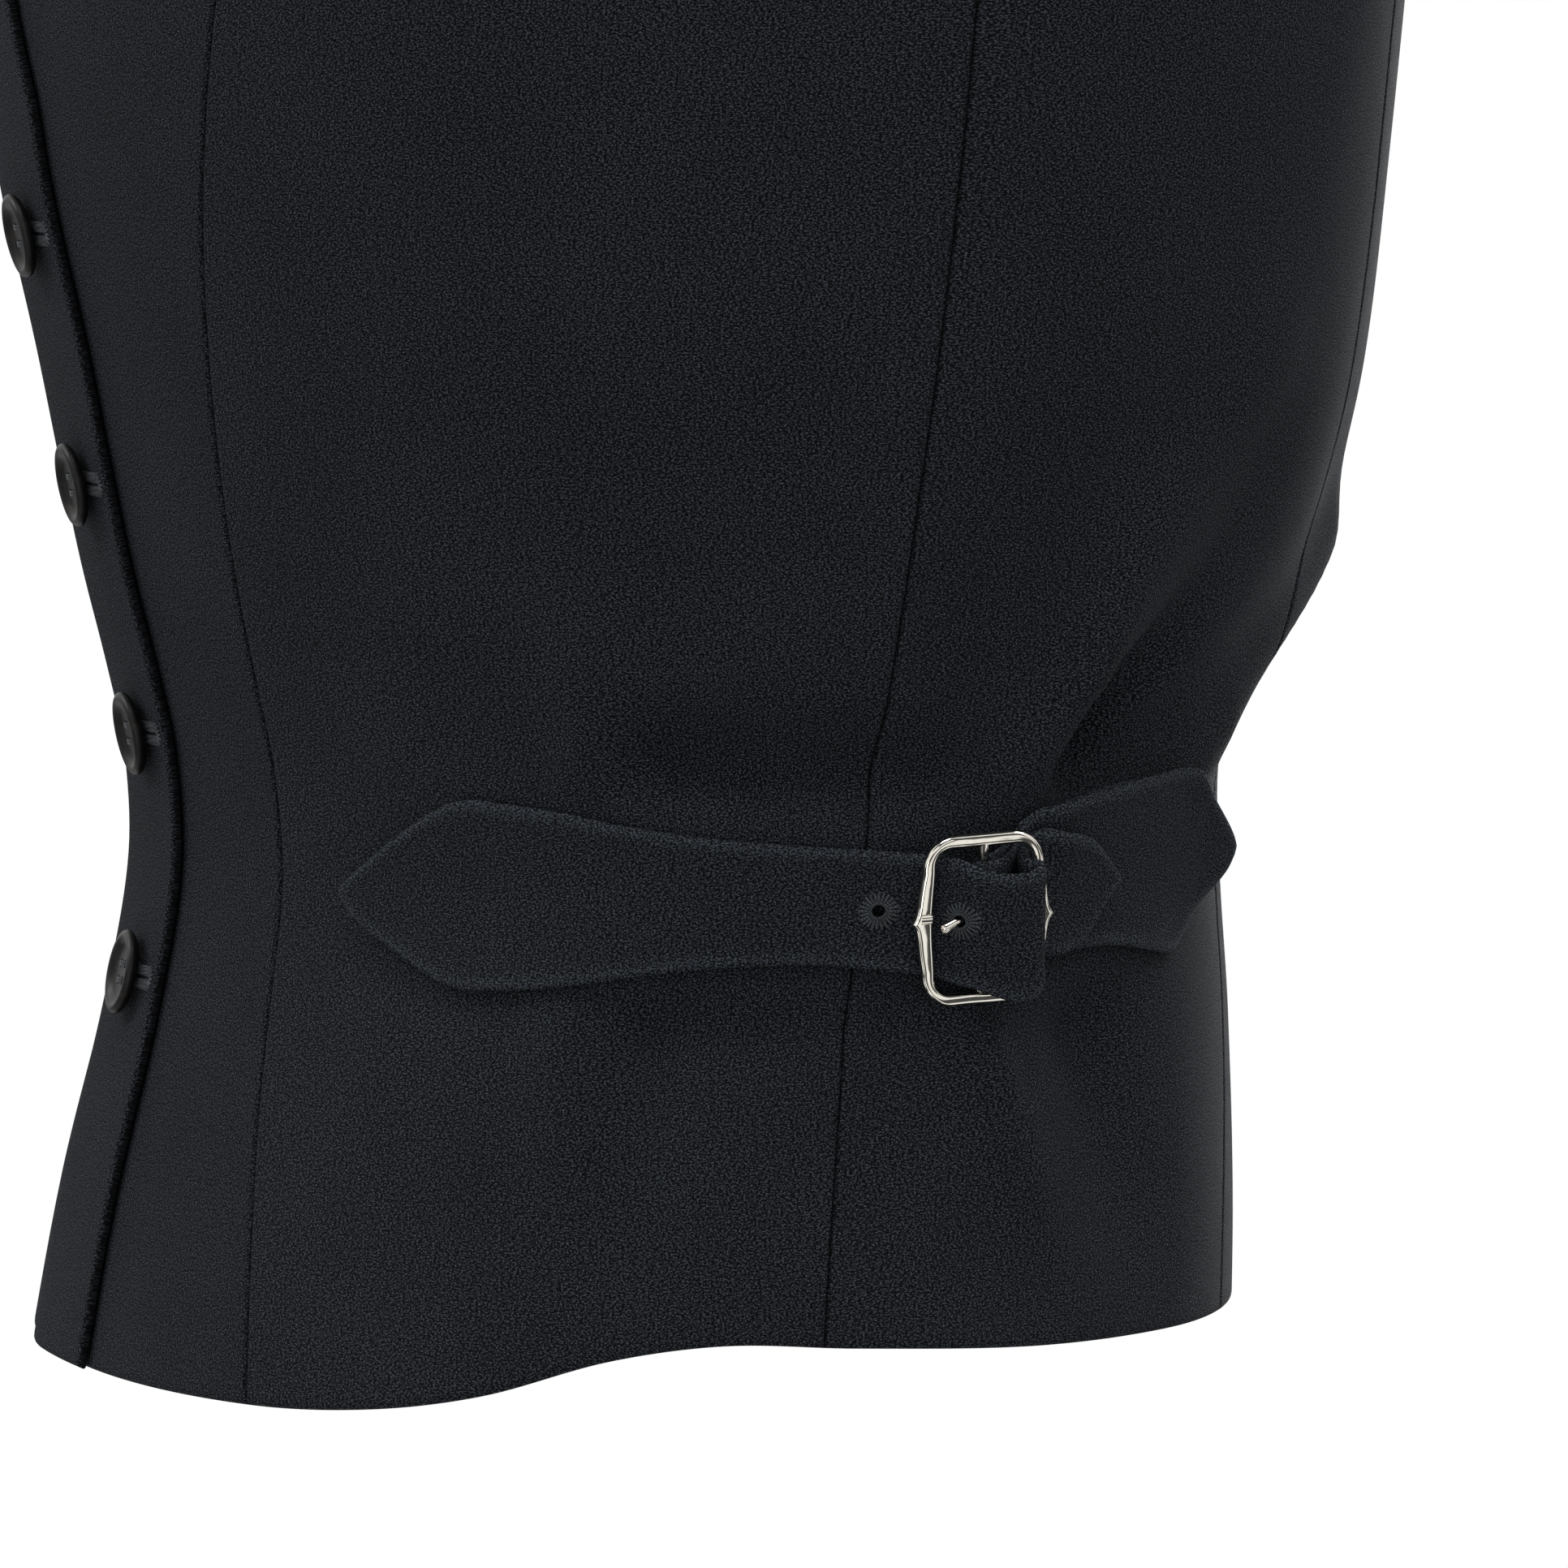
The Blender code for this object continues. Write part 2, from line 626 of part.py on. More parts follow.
def buckle_frame(name, place):
    """A flat frame with round edges, bowed sides that peak at the middle and a round middle bar."""
    edge = FRAME_EDGE
    half_x = (RIGHT_BAR - LEFT_BAR + BAR_WIDTH) / 2
    half_y = BUCKLE_HEIGHT / 2
    curve = bpy.data.curves.new(name, "CURVE")
    curve.dimensions = "2D"
    curve.fill_mode = "BOTH"
    curve.extrude = (BAR_THICK / 2 - edge) * MM
    curve.bevel_depth = edge * MM
    curve.bevel_resolution = 1
    outer = outline(half_x - edge, half_y - edge, OUTER_CORNER, BOW)
    inset_by = BAR_WIDTH - edge
    inner = outline(half_x - inset_by, half_y - inset_by, HOLE_CORNER, HOLE_BOW)
    spline(curve, [(x, y, 0) for x, y in outer], True)
    spline(curve, [(x, y, 0) for x, y in inner], True)
    frame = add(name, mesh_of(curve), METAL)
    frame.matrix_world = place
    upright = Matrix.Rotation(math.radians(90), 4, "X")
    bar = cylinder(MID_RADIUS, BUCKLE_HEIGHT - BAR_WIDTH, 12, upright)
    boolean(frame, tool(f"{name}_bar", bar, place), "UNION")
    return frame


PRONG_RADIUS = 0.65
PRONG_RING = MID_RADIUS + GAP + 0.05 + PRONG_RADIUS
PRONG_LEVEL = 0.9  # over the buckle's middle
PRONG_END = -8.3  # along the strap, from the middle bar
PRONG_FALL = 0.2  # how much lower its end lies over the frame than its start
PRONG_HOOK = range(-190, 91, 28)  # degrees round the middle bar, from the hook's tip to its top
# Past the hook: the share of the way to its end, down across the strap, and how it thickens
PRONG_PATH = ((0.35, 0.1, 1.05), (0.7, 0.8, 1.15), (0.93, 1.7, 1.35), (1.0, 1.85, 1.0))


def buckle_prong(name, place, side):
    """A wire hooked round the middle bar, which comes up through the strap's eyelet."""
    curve = bpy.data.curves.new(name, "CURVE")
    curve.dimensions = "3D"
    curve.bevel_depth = PRONG_RADIUS * MM
    curve.bevel_resolution = 2
    curve.use_fill_caps = True
    turns = [math.radians(degrees) for degrees in PRONG_HOOK]
    hook = [(PRONG_RING * math.cos(turn), PRONG_LEVEL, PRONG_RING * math.sin(turn)) for turn in turns]
    arm = []
    for share, down, _ in PRONG_PATH:
        arm.append((PRONG_END * share, PRONG_LEVEL - down, PRONG_RING - PRONG_FALL * share))
    radii = [1.0] * len(hook) + [swell for _, _, swell in PRONG_PATH]
    spline(curve, [(x * side, y, z) for x, y, z in hook + arm], False, radii)
    prong = add(name, mesh_of(curve), METAL)
    prong.matrix_world = place
    return prong


SLOT_HALF = 1.35  # the slot in the short strap's loop, which lets the prong out
SLOT_REACH = 3.2
EYELET_HOLE = 1.4
EYELET_DROP = 0.4  # the prong's eyelet under the hook
FREE_EYELET_LEVEL = -1.0
PRONG_EYELET = -4.4  # along the strap, from the middle bar
FREE_EYELET = -2.5  # round the girth
EYELET_STRETCH = 2.15  # how far the prong draws its eyelet out of round


STRAP_STEP, SHORT_STEP = 3.5, 5.0  # between a strap's cross rows
EYELET_CUT = 14.0  # the cutters' height


def long_strap(name, place, side):
    strap = ribbon(name, resample(LONG_STRAP, STRAP_STEP), STRAP_THICK, side, place)
    stretched = Matrix.Diagonal((EYELET_STRETCH, 1, 1, 1))
    middle = Matrix.Translation(Vector((PRONG_EYELET * side, PRONG_LEVEL - EYELET_DROP, 0)) * MM)
    cutter = cylinder(EYELET_HOLE, EYELET_CUT, 12, stretched)
    boolean(strap, tool(f"{name}_prong_eyelet", cutter, place @ middle), "DIFFERENCE")
    foot = seat(FREE_EYELET, FREE_EYELET_LEVEL, side, 0)
    top = seat(FREE_EYELET, FREE_EYELET_LEVEL, side, EYELET_CUT)
    turned = (top - foot).to_track_quat("Z", "Y").to_matrix().to_4x4()
    cutter = cylinder(EYELET_HOLE, EYELET_CUT, 12)
    boolean(strap, tool(f"{name}_free_eyelet", cutter, Matrix.Translation(foot) @ turned), "DIFFERENCE")
    return strap


def short_strap(name, place, side):
    """The strap's upper layer, its loop round the middle bar and the layer that returns under it."""
    loop = []
    for step in range(LOOP_STEPS + 1):
        turn = math.radians(LOOP_FROM + (LOOP_TO - LOOP_FROM) * step / LOOP_STEPS)
        distance = MID_BAR + LOOP_RADIUS * math.cos(turn)
        out = MID_OUT + LOOP_RADIUS * math.sin(turn)
        loop.append(Station(distance, out, LOOP_TOP, LOOP_BOTTOM, LOOP_TILT))
    stations = resample(SHORT_STRAP, SHORT_STEP) + loop + resample(SHORT_RETURN, SHORT_STEP)
    strap = ribbon(name, stations, LOOP_THICK, side, place)
    shape = bmesh.new()
    size = Matrix.Diagonal((2 * SLOT_REACH * MM, 2 * SLOT_HALF * MM, 2 * SLOT_REACH * MM, 1))
    bmesh.ops.create_cube(shape, matrix=size)
    mesh = bpy.data.meshes.new("slot")
    shape.to_mesh(mesh)
    shape.free()
    slot = tool(f"{name}_slot", mesh, place @ Matrix.Translation((0, PRONG_LEVEL * MM, 0)))
    boolean(strap, slot, "DIFFERENCE")
    return strap


BUTTON_LEVELS = (112, 68, 24, -20)
BUTTON_SHANK = 0.8  # a thread shank holds the button this far over the cloth
# A button's section: from its middle, and over its back
BUTTON_PROFILE = ((0, 1.5), (4.6, 1.5), (5.6, 2.3), (6.8, 2.5), (7.5, 1.8), (7.3, 0.9), (5.0, 0), (0, 0))
BUTTON_HOLE = 0.8
BUTTON_HOLE_PLACES = ((-1.5, -1.5), (-1.5, 1.5), (1.5, -1.5), (1.5, 1.5))


def button(name, level):
    """A turned button with a rim and four holes, on the right front's edge."""
    edges = [(i, i + 1) for i in range(len(BUTTON_PROFILE) - 1)]
    mesh = bpy.data.meshes.new(name)
    mesh.from_pydata([(x * MM, 0, z * MM) for x, z in BUTTON_PROFILE], edges, [])
    made = add(name, mesh, HORN)
    screw = made.modifiers.new("Turn", "SCREW")
    screw.steps = screw.render_steps = 20
    screw.use_merge_vertices = True
    screw.merge_threshold = 1e-6
    angle = angle_at(level, 0.0, back=False)
    normal = outward(level, angle)
    out = Vector((-normal.x, normal.y, normal.z))
    sideways = Vector((1, 0, 0))
    axes = Matrix((sideways, out.cross(sideways), out)).transposed().to_4x4()
    made.matrix_world = Matrix.Translation(cloth(level, angle, -1, lap(level, angle) + BUTTON_SHANK)) @ axes
    for x, y in BUTTON_HOLE_PLACES:
        place = made.matrix_world @ Matrix.Translation((x * MM, y * MM, 0))
        boolean(made, tool(f"{name}_hole", cylinder(BUTTON_HOLE, 6, 8), place), "DIFFERENCE")
    return made


def build_side(side, word):
    edge = edge_line(front_edge)
    front = edge_line(front_seam)
    back = edge_line(back_seam)
    middle = edge_line(middle_back)
    panel(f"front_{word}", edge, front, 6, side, lap=lap if side < 0 else None)
    panel(f"side_front_{word}", front, armhole_line("front"), 9, side)
    panel(f"side_back_{word}", armhole_line("back"), back, 11, side)
    panel(f"back_{word}", middle, back, 5, side, top=back_top)
    place = buckle_place(side)
    long_strap(f"long_strap_{word}", place, side)
    short_strap(f"short_strap_{word}", place, side)
    buckle_frame(f"buckle_frame_{word}", place)
    buckle_prong(f"buckle_prong_{word}", place, side)


for old in list(bpy.data.objects):
    bpy.data.objects.remove(old)
PARTS = collection(NAME)
TOOLS = collection("tools")
build_side(1, "left")
build_side(-1, "right")
for number, level in enumerate(BUTTON_LEVELS, 1):
    button(f"button_{number}", level)
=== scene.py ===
"""The sleeveless jacket's looks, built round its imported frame.

Cloth pieces are thin shells on the same worn form as the solids, with the creases that its buckled straps
pull in. Metres and the frame's axes: +X is the wearer's left side, -Y the front, and the origin lies on
the shoulder line, midway between the neck points. Tables are in millimetres and degrees.
"""

import math

import bmesh
import bpy
import numpy as np
from mathutils import Matrix, Vector


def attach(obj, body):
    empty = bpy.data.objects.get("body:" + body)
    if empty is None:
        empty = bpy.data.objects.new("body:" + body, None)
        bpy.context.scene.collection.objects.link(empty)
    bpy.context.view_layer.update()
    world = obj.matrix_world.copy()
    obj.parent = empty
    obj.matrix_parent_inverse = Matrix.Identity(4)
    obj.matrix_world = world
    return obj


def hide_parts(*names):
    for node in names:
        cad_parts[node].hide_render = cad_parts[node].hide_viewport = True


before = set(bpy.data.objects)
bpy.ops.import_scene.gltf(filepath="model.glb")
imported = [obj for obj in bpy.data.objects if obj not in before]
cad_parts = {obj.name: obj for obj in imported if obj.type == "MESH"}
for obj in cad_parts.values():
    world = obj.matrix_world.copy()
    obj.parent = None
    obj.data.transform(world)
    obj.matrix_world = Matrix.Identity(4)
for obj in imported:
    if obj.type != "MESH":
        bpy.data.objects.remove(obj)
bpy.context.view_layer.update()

bl_info = {
    "name": "Sleeveless Jacket",
    "version": (1, 0, 0),
    "blender": (4, 5, 0),
    "location": "View3D > Sidebar > Jacket",
    "description": "Builds the cloth, straps, buckles, buttons and stage of a sleeveless jacket",
    "category": "Add Mesh",
}

MM = 0.001
SIDES = ((1, "left"), (-1, "right"))

# ---------------------------------------------------------------- the worn form

WAIST_DROP = 416.0  # the waist line under the neck points
STANCE = 15.0  # the shoulder line lies this far behind the waist's middle
WALL = 1.8
SHOULDER = 470.0
SHOULDER_EDGE = SHOULDER + 0.04  # sewn edges meet
SLOPE_ROUNDING = 0.15

SECTION_COLUMNS = ("along", "height", "half_width", "front", "back", "centre", "square", "slope")
SECTIONS = (
    (-100, -100, 151.0, 101.0, 104.0, -10.5, 2.1, 0.0),
    (-60, -60, 144.0, 98.0, 101.5, -6.3, 2.1, 0.0),
    (-25, -25, 138.0, 93.5, 98.0, -2.6, 2.05, 0.0),
    (0, 0, 135.0, 92.0, 94.5, 0.0, 2.0, 0.0),
    (20, 20, 135.5, 95.0, 92.0, 2.1, 2.0, 0.0),
    (34, 34, 137.5, 99.5, 94.5, 3.6, 2.0, 0.0),
    (52, 52, 140.0, 106.0, 104.5, 5.5, 2.0, 0.0),
    (70, 70, 143.0, 111.5, 109.0, 7.3, 2.05, 0.0),
    (90, 90, 146.5, 117.5, 110.5, 9.4, 2.1, 0.0),
    (126, 126, 151.0, 129.0, 109.5, 13.2, 2.15, 0.0),
    (170, 170, 156.0, 137.0, 109.0, 16.5, 2.2, 0.0),
    (205, 205, 160.0, 133.0, 109.0, 18.5, 2.2, 0.0),
    (250, 250, 167.0, 120.0, 108.0, 19.5, 2.2, 0.0),
    (300, 300, 173.0, 101.0, 102.0, 19.0, 2.2, 6.0),
    (345, 346, 177.0, 82.0, 89.0, 17.5, 2.1, 20.0),
    (390, 391, 179.0, 59.0, 70.0, 16.0, 2.0, 40.0),
    (430, 427, 180.0, 34.0, 42.0, 15.0, 2.0, 60.0),
    (455, 446, 180.0, 13.5, 17.0, 15.0, 2.0, 71.0),
    (470, 450.0, 180.0, 0.0, 0.0, 15.0, 2.0, 74.4),
    (485, 446, 180.0, -17.0, -13.5, 15.0, 2.0, 71.0),
)


def smooth_curve(keys, values):
    """A smooth curve through values at keys, as a function of arrays."""
    keys = np.array(keys, float)
    values = np.array(values, float)
    last = len(keys) - 1
    low = np.maximum(np.arange(last + 1) - 1, 0)
    high = np.minimum(np.arange(last + 1) + 1, last)
    tangents = (values[high] - values[low]) / (keys[high] - keys[low])

    def at(x):
        i = np.clip(np.searchsorted(keys, x, side="right") - 1, 0, last - 1)
        span = keys[i + 1] - keys[i]
        t = np.clip((x - keys[i]) / span, 0.0, 1.0)
        start = (2 * t**3 - 3 * t**2 + 1) * values[i] + (t**3 - 2 * t**2 + t) * span * tangents[i]
        end = (3 * t**2 - 2 * t**3) * values[i + 1] + (t**3 - t**2) * span * tangents[i + 1]
        return start + end

    return at


def curves(columns, rows):
    """A smooth curve for each named column of a table, over its first column."""
    table = np.array(rows, float)
    return {name: smooth_curve(table[:, 0], table[:, i]) for i, name in enumerate(columns)}


SECTION = curves(SECTION_COLUMNS, SECTIONS)


def stack(*parts):
    """Points from their coordinates."""
    return np.stack(np.broadcast_arrays(*parts), axis=-1)


def form(along, angle):
    """The worn form on the wearer's left side. Angle 0 is the side and -90 the front."""
    along, angle = np.broadcast_arrays(np.asarray(along, float), np.asarray(angle, float))
    turn = np.radians(angle)
    power = 2 / SECTION["square"](along)
    side = np.sign(np.cos(turn)) * np.abs(np.cos(turn)) ** power
    fore = np.sign(np.sin(turn)) * np.abs(np.sin(turn)) ** power
    depth = np.where(fore < 0, SECTION["front"](along), SECTION["back"](along))
    z = SECTION["height"](along) - SECTION["slope"](along) * np.hypot(side, SLOPE_ROUNDING) - WAIST_DROP
    y = SECTION["centre"](along) - STANCE + depth * fore
    return stack(SECTION["half_width"](along) * side, y, z)


def unit(vectors):
    return vectors / np.maximum(np.linalg.norm(vectors, axis=-1, keepdims=True), 1e-12)


def outward(along, angle, step=0.5):
    """The direction straight out of the form."""
    up = form(along + step, angle) - form(along - step, angle)
    around = form(along, angle + step) - form(along, angle - step)
    return unit(np.cross(around, up))


def angle_at(along, x, back):
    """The angle where the form is x from its middle plane, on the front or on the back."""
    ratio = np.clip(x / SECTION["half_width"](along), -1.0, 1.0)
    bent = np.sign(ratio) * np.abs(ratio) ** (SECTION["square"](along) / 2)
    turn = np.degrees(np.arccos(bent))
    return turn if back else -turn


RULER_ANGLES = np.arange(-100.0, 101.0)
RULER_STEPS = np.linalg.norm(np.diff(form(0.0, RULER_ANGLES), axis=0), axis=1)
RULER = np.concatenate([[0.0], np.cumsum(RULER_STEPS)])
RULER = RULER - np.interp(0.0, RULER_ANGLES, RULER)


def angle_round(distance):
    """The angle of a distance round the waist from the side, in mm towards the back."""
    return np.interp(distance, RULER, RULER_ANGLES)


def distance_of(angle):
    return np.interp(angle, RULER_ANGLES, RULER)


# The folds of the solids: from (along, round) to (end_along, end_round), how far each stands out at its
# ends, its half width, and its share on the wearer's right.
FOLDS = (
    (92, 56, 38, 33, 0.8, 3.0, 10.0, 0.8),
    (38, 33, 16, 24, 3.0, 1.5, 9.0, 0.8),
    (56, 128, 28, 92, 4.0, 4.0, 10.0, 0.7),
    (28, 92, 12, 72, 4.0, 1.0, 9.0, 0.7),
)
# Softer creases that only the dressed cloth has. Troughs are negative.
CREASES = (
    (60, -52, 34, -53, 0.1, 1.4, 7.0, 0.9),
    (34, -53, 15, -54, 1.4, 3.0, 4.8, 0.9),
    (-14, -56, -29, -53, 3.0, 1.6, 4.8, 0.9),
    (-29, -53, -60, -46, 1.4, 0.1, 8.0, 0.9),
    (62, -37, 36, -38, -0.2, -2.6, 8.0, 0.8),
    (36, -38, 24, -37, -2.6, -8.0, 8.0, 0.8),
    (24, -37, 23, -22, -8.0, -6.5, 8.5, 0.8),
    (23, -22, 22, 4, -6.5, -3.4, 7.5, 0.8),
    (-17, -38, -40, -37, -5.4, -2.4, 8.0, 0.8),
    (-19, -38, -19, 2, -4.6, -1.8, 7.0, 0.8),
    (-40, -37, -70, -33, -1.8, -0.1, 9.0, 0.8),
    (-17, 17, -38, 24, 5.2, 3.4, 4.6, 0.9),
    (-38, 24, -64, 36, 3.4, 0.3, 7.5, 0.9),
    (-15, 2, -34, 4, -3.6, -1.4, 7.0, 0.9),
    (-17, 42, -36, 47, -6.5, -5.0, 11.0, 0.9),
    (-36, 47, -64, 55, -5.0, -1.0, 12.0, 0.9),
    (86, 44, 60, 36, 0.2, 1.6, 7.0, 0.8),
    (60, 36, 38, 32, 1.6, 2.8, 5.5, 0.8),
    (38, 32, 22, 26, 2.8, 1.6, 5.0, 0.8),
    (80, 64, 56, 57, -0.2, -1.8, 9.0, 0.8),
    (56, 57, 40, 54, -1.8, -6.0, 9.0, 0.8),
    (40, 54, 27, 45, -6.0, -11.0, 9.0, 0.8),
    (27, 45, 21, 40, -11.0, -8.0, 8.0, 0.8),
    (28, 64, 25, 48, -3.0, -7.0, 9.0, 0.8),
    (22, 12, 44, 6, -1.0, -0.1, 8.0, 0.9),
    (150, 62, 92, 56, 0.1, 0.7, 14.0, 0.8),
    (120, 98, 60, 112, 0.1, -1.0, 14.0, 0.8),
    (18, -92, 60, -84, 0.7, 0.1, 9.0, 0.9),
    (-18, -90, -54, -98, 0.7, 0.1, 9.0, 0.9),
    (200, -52, 120, -70, 0.5, -0.6, 22.0, 0.7),
    (120, -10, 66, -14, -0.2, 0.7, 15.0, 0.8),
)
STRAP_PRESS = 0.9  # how much of the softer creases a strap presses flat
TROUGH_HALF, RIDGE_HALF = 17.0, 22.0  # how far up and down it presses troughs, and ridges
PRESS_END = 6  # how abruptly that pressing ends
STRAPS_FROM, STRAPS_TO = -104.0, 92.0  # round the waist from the side, towards the back


def bumps(table, along, around, side, spread=1.0):
    """How far each row of a fold table lifts the cloth at a place."""
    lifts = []
    for a, r, end_a, end_r, out, end_out, wide, share in table:
        run = np.array((end_r - r, end_a - a), float)
        offset = stack(around - r, along - a)
        t = np.clip((offset @ run) / (run @ run), 0.0, 1.0)
        gap = np.linalg.norm(offset - t[..., None] * run, axis=-1) / (wide * spread)
        lifts.append((out + (end_out - out) * t) * np.exp(-gap * gap) * (1.0 if side > 0 else share))
    return lifts


def joined(table, along, around, side):
    """Softer creases, each chain of which counts once where its stretches meet."""
    lifts = np.array(bumps(table, along, around, side))
    return np.maximum(lifts.max(axis=0), 0) + np.minimum(lifts.min(axis=0), 0)


def folds(along, around, side, spread=1.0):
    """How far the folds of the solids lift a place, where the highest one counts."""
    return np.maximum(np.max(bumps(FOLDS, along, around, side, spread), axis=0), 0)


def lifted(along, angle, side):
    """How far folds and creases move the cloth out, the creases less under a strap."""
    around = distance_of(angle)
    soft = joined(CREASES, along, around, side)
    under = (around > STRAPS_FROM) & (around < STRAPS_TO)
    reach = np.where(soft > 0, RIDGE_HALF, TROUGH_HALF)
    pressed = np.where(under, np.exp(-((along / reach) ** PRESS_END)), 0.0)
    return folds(along, around, side) + soft * (1 - STRAP_PRESS * pressed)


def cloth(along, angle, side, out=0.0):
    """Points of the jacket's outer face, in metres, moved out by out millimetres."""
    lift = (lifted(along, angle, side) + out)[..., None]
    points = form(along, angle) + outward(along, angle) * lift
    return points * (side, 1, 1) * MM


# ---------------------------------------------------------------- the cut

CUT = curves(
    ("along", "front_seam", "side_angle", "back_seam"),
    (
        (-100, 80.0, -3.0, 95.0),
        (-60, 69.0, -3.0, 88.0),
        (-30, 59.0, -3.0, 78.0),
        (0, 54.0, -2.7, 73.0),
        (40, 53.0, -2.0, 75.0),
        (85, 60.0, -1.5, 86.0),
        (126, 73.0, -1.5, 94.0),
        (170, 88.0, -1.5, 100.0),
        (205, 94.0, -1.5, 104.0),
        (300, 104.0, -1.5, 112.0),
        (390, 114.0, -1.5, 118.0),
        (470, 122.0, -1.5, 122.0),
    ),
)
HEM = curves(
    ("angle", "along"),
    (
        (-100, -88.0),
        (-60, -87.2),
        (-46, -85.2),
        (-35, -81.5),
        (-23, -74.8),
        (-12, -72.0),
        (0, -72.8),
        (20, -74.3),
        (90, -76.0),
    ),
)["along"]
OVERLAP = 14.0
NECK_HALF = 78.0
V_BREAK = 134.0
NAPE = 402.0  # the neckline at the centre back
NAPE_SHARE = 0.6  # of the back's width, over which the neckline rises
NAPE_BEND = 2.2
UNDERARM = 195.0
# along, and the angles of the armhole's front and back edge there
ARMHOLE = np.array((
    (UNDERARM, -1.5, -1.5),
    (199, -12.0, 9.0),
    (214, -22.5, 20.0),
    (238, -28.5, 26.5),
    (268, -31.0, 29.5),
    (300, -31.5, 30.5),
    (334, -30.5, 30.0),
    (368, -28.5, 28.5),
    (402, -26.5, 26.5),
    (432, -25.0, 25.0),
    (455, -24.0, 24.0),
    (SHOULDER_EDGE, -23.6, 23.6),
))
# Rows over the underarm, as shares of the way to the shoulder
HIGH_SHARES = np.array((0, 9, 18, 28, 38, 49, 60, 71, 81, 90, 96, 100)) / 100
TOP_STEPS = np.array((0.06, 0.03, 0.012, 0.0))  # the last rows, close together under the shoulder seam
LOW_TOP = -60.0  # above this level the rows run level, and below it they follow the hem
HEM_SHARES = np.array((0, 0.006, 0.016, 0.032, 0.05, 0.08, 0.2, 0.4, 0.6, 0.8))  # rows, close at the hem
HEM_ROWS = len(HEM_SHARES)
FEWEST_COLUMNS = 6
SEAM_GAP = -0.08  # sewn edges meet
EDGE_ROUND = 1.2  # how far in a panel's face starts to turn in to its seam
INNER_ROUND = 0.4
DITCH = 0.28  # the width of the painted shade in a seam's ditch
EDGE_STEPS = (0.0, 0.08, 0.25, 0.5, 0.8, 1.2, 1.8)  # columns from a rounded edge inwards
CELL = 2.5
LAP_LIFT = WALL + 0.6
LAP_FROM, LAP_TO = OVERLAP + 3, 46.0
LAP_TOP_FROM, LAP_TOP_TO = 200.0, 260.0


def ease(value, start, end):
    share = np.clip((value - start) / (end - start), 0.0, 1.0)
    return share * share * (3 - 2 * share)


def lap(along, angle):
    """How far the right front is lifted to lie over the left one."""
    x = form(along, angle)[..., 0]
    return LAP_LIFT * (1 - ease(x, LAP_FROM, LAP_TO)) * (1 - ease(along, LAP_TOP_FROM, LAP_TOP_TO))


def front_edge(along):
    climb = np.maximum(0.0, (along - V_BREAK) / (SHOULDER - V_BREAK))
    return angle_at(along, -OVERLAP + (OVERLAP + NECK_HALF) * climb, back=False)


def front_seam(along):
    return angle_at(along, CUT["front_seam"](along), back=False)


def back_seam(along):
    return angle_at(along, CUT["back_seam"](along), back=True)


def middle_back(along):
    return np.full_like(np.asarray(along, float), 90.0)


def edge_rows(angle_of=None, armhole=None):
    """A long edge as rows of (along, angle), from the hem up, the same number on every edge."""
    side_seam = CUT["side_angle"]
    low_of = angle_of or side_seam
    foot = HEM(low_of(HEM(low_of(LOW_TOP))))
    low = np.concatenate([foot + (LOW_TOP - foot) * HEM_SHARES, np.arange(LOW_TOP, UNDERARM, CELL)])
    steps = np.linspace(0, len(HIGH_SHARES) - 1, round((SHOULDER - UNDERARM) / CELL))
    steps = np.concatenate([steps[:-1], steps[-1] - TOP_STEPS])
    index = np.arange(len(HIGH_SHARES))
    if armhole is None:
        high = UNDERARM + (SHOULDER_EDGE - UNDERARM) * np.interp(steps, index, HIGH_SHARES)
        return np.concatenate([low, high]), np.concatenate([low_of(low), angle_of(high)])
    high = smooth_curve(index, ARMHOLE[:, 0])(steps)
    angles = smooth_curve(index, ARMHOLE[:, armhole])(steps)
    return np.concatenate([low, high]), np.concatenate([low_of(low), angles])


def columns_between(widths):
    """Shares across each row: close at both rounded edges and even between."""
    count = max(FEWEST_COLUMNS, round(float(widths.max()) / CELL))
    near = np.array(EDGE_STEPS)[None, :] / widths[:, None]
    middle_from = near[:, -1:]
    middle = middle_from + (1 - 2 * middle_from) * np.linspace(0, 1, count)[None, 1:-1]
    return np.concatenate([near, middle, 1 - near[:, ::-1]], axis=1)


def rounding(distance, radius):
    """How far a cloth's face sinks next to its edge."""
    inside = np.clip(radius - distance, 0.0, radius)
    return radius - np.sqrt(radius**2 - inside**2)


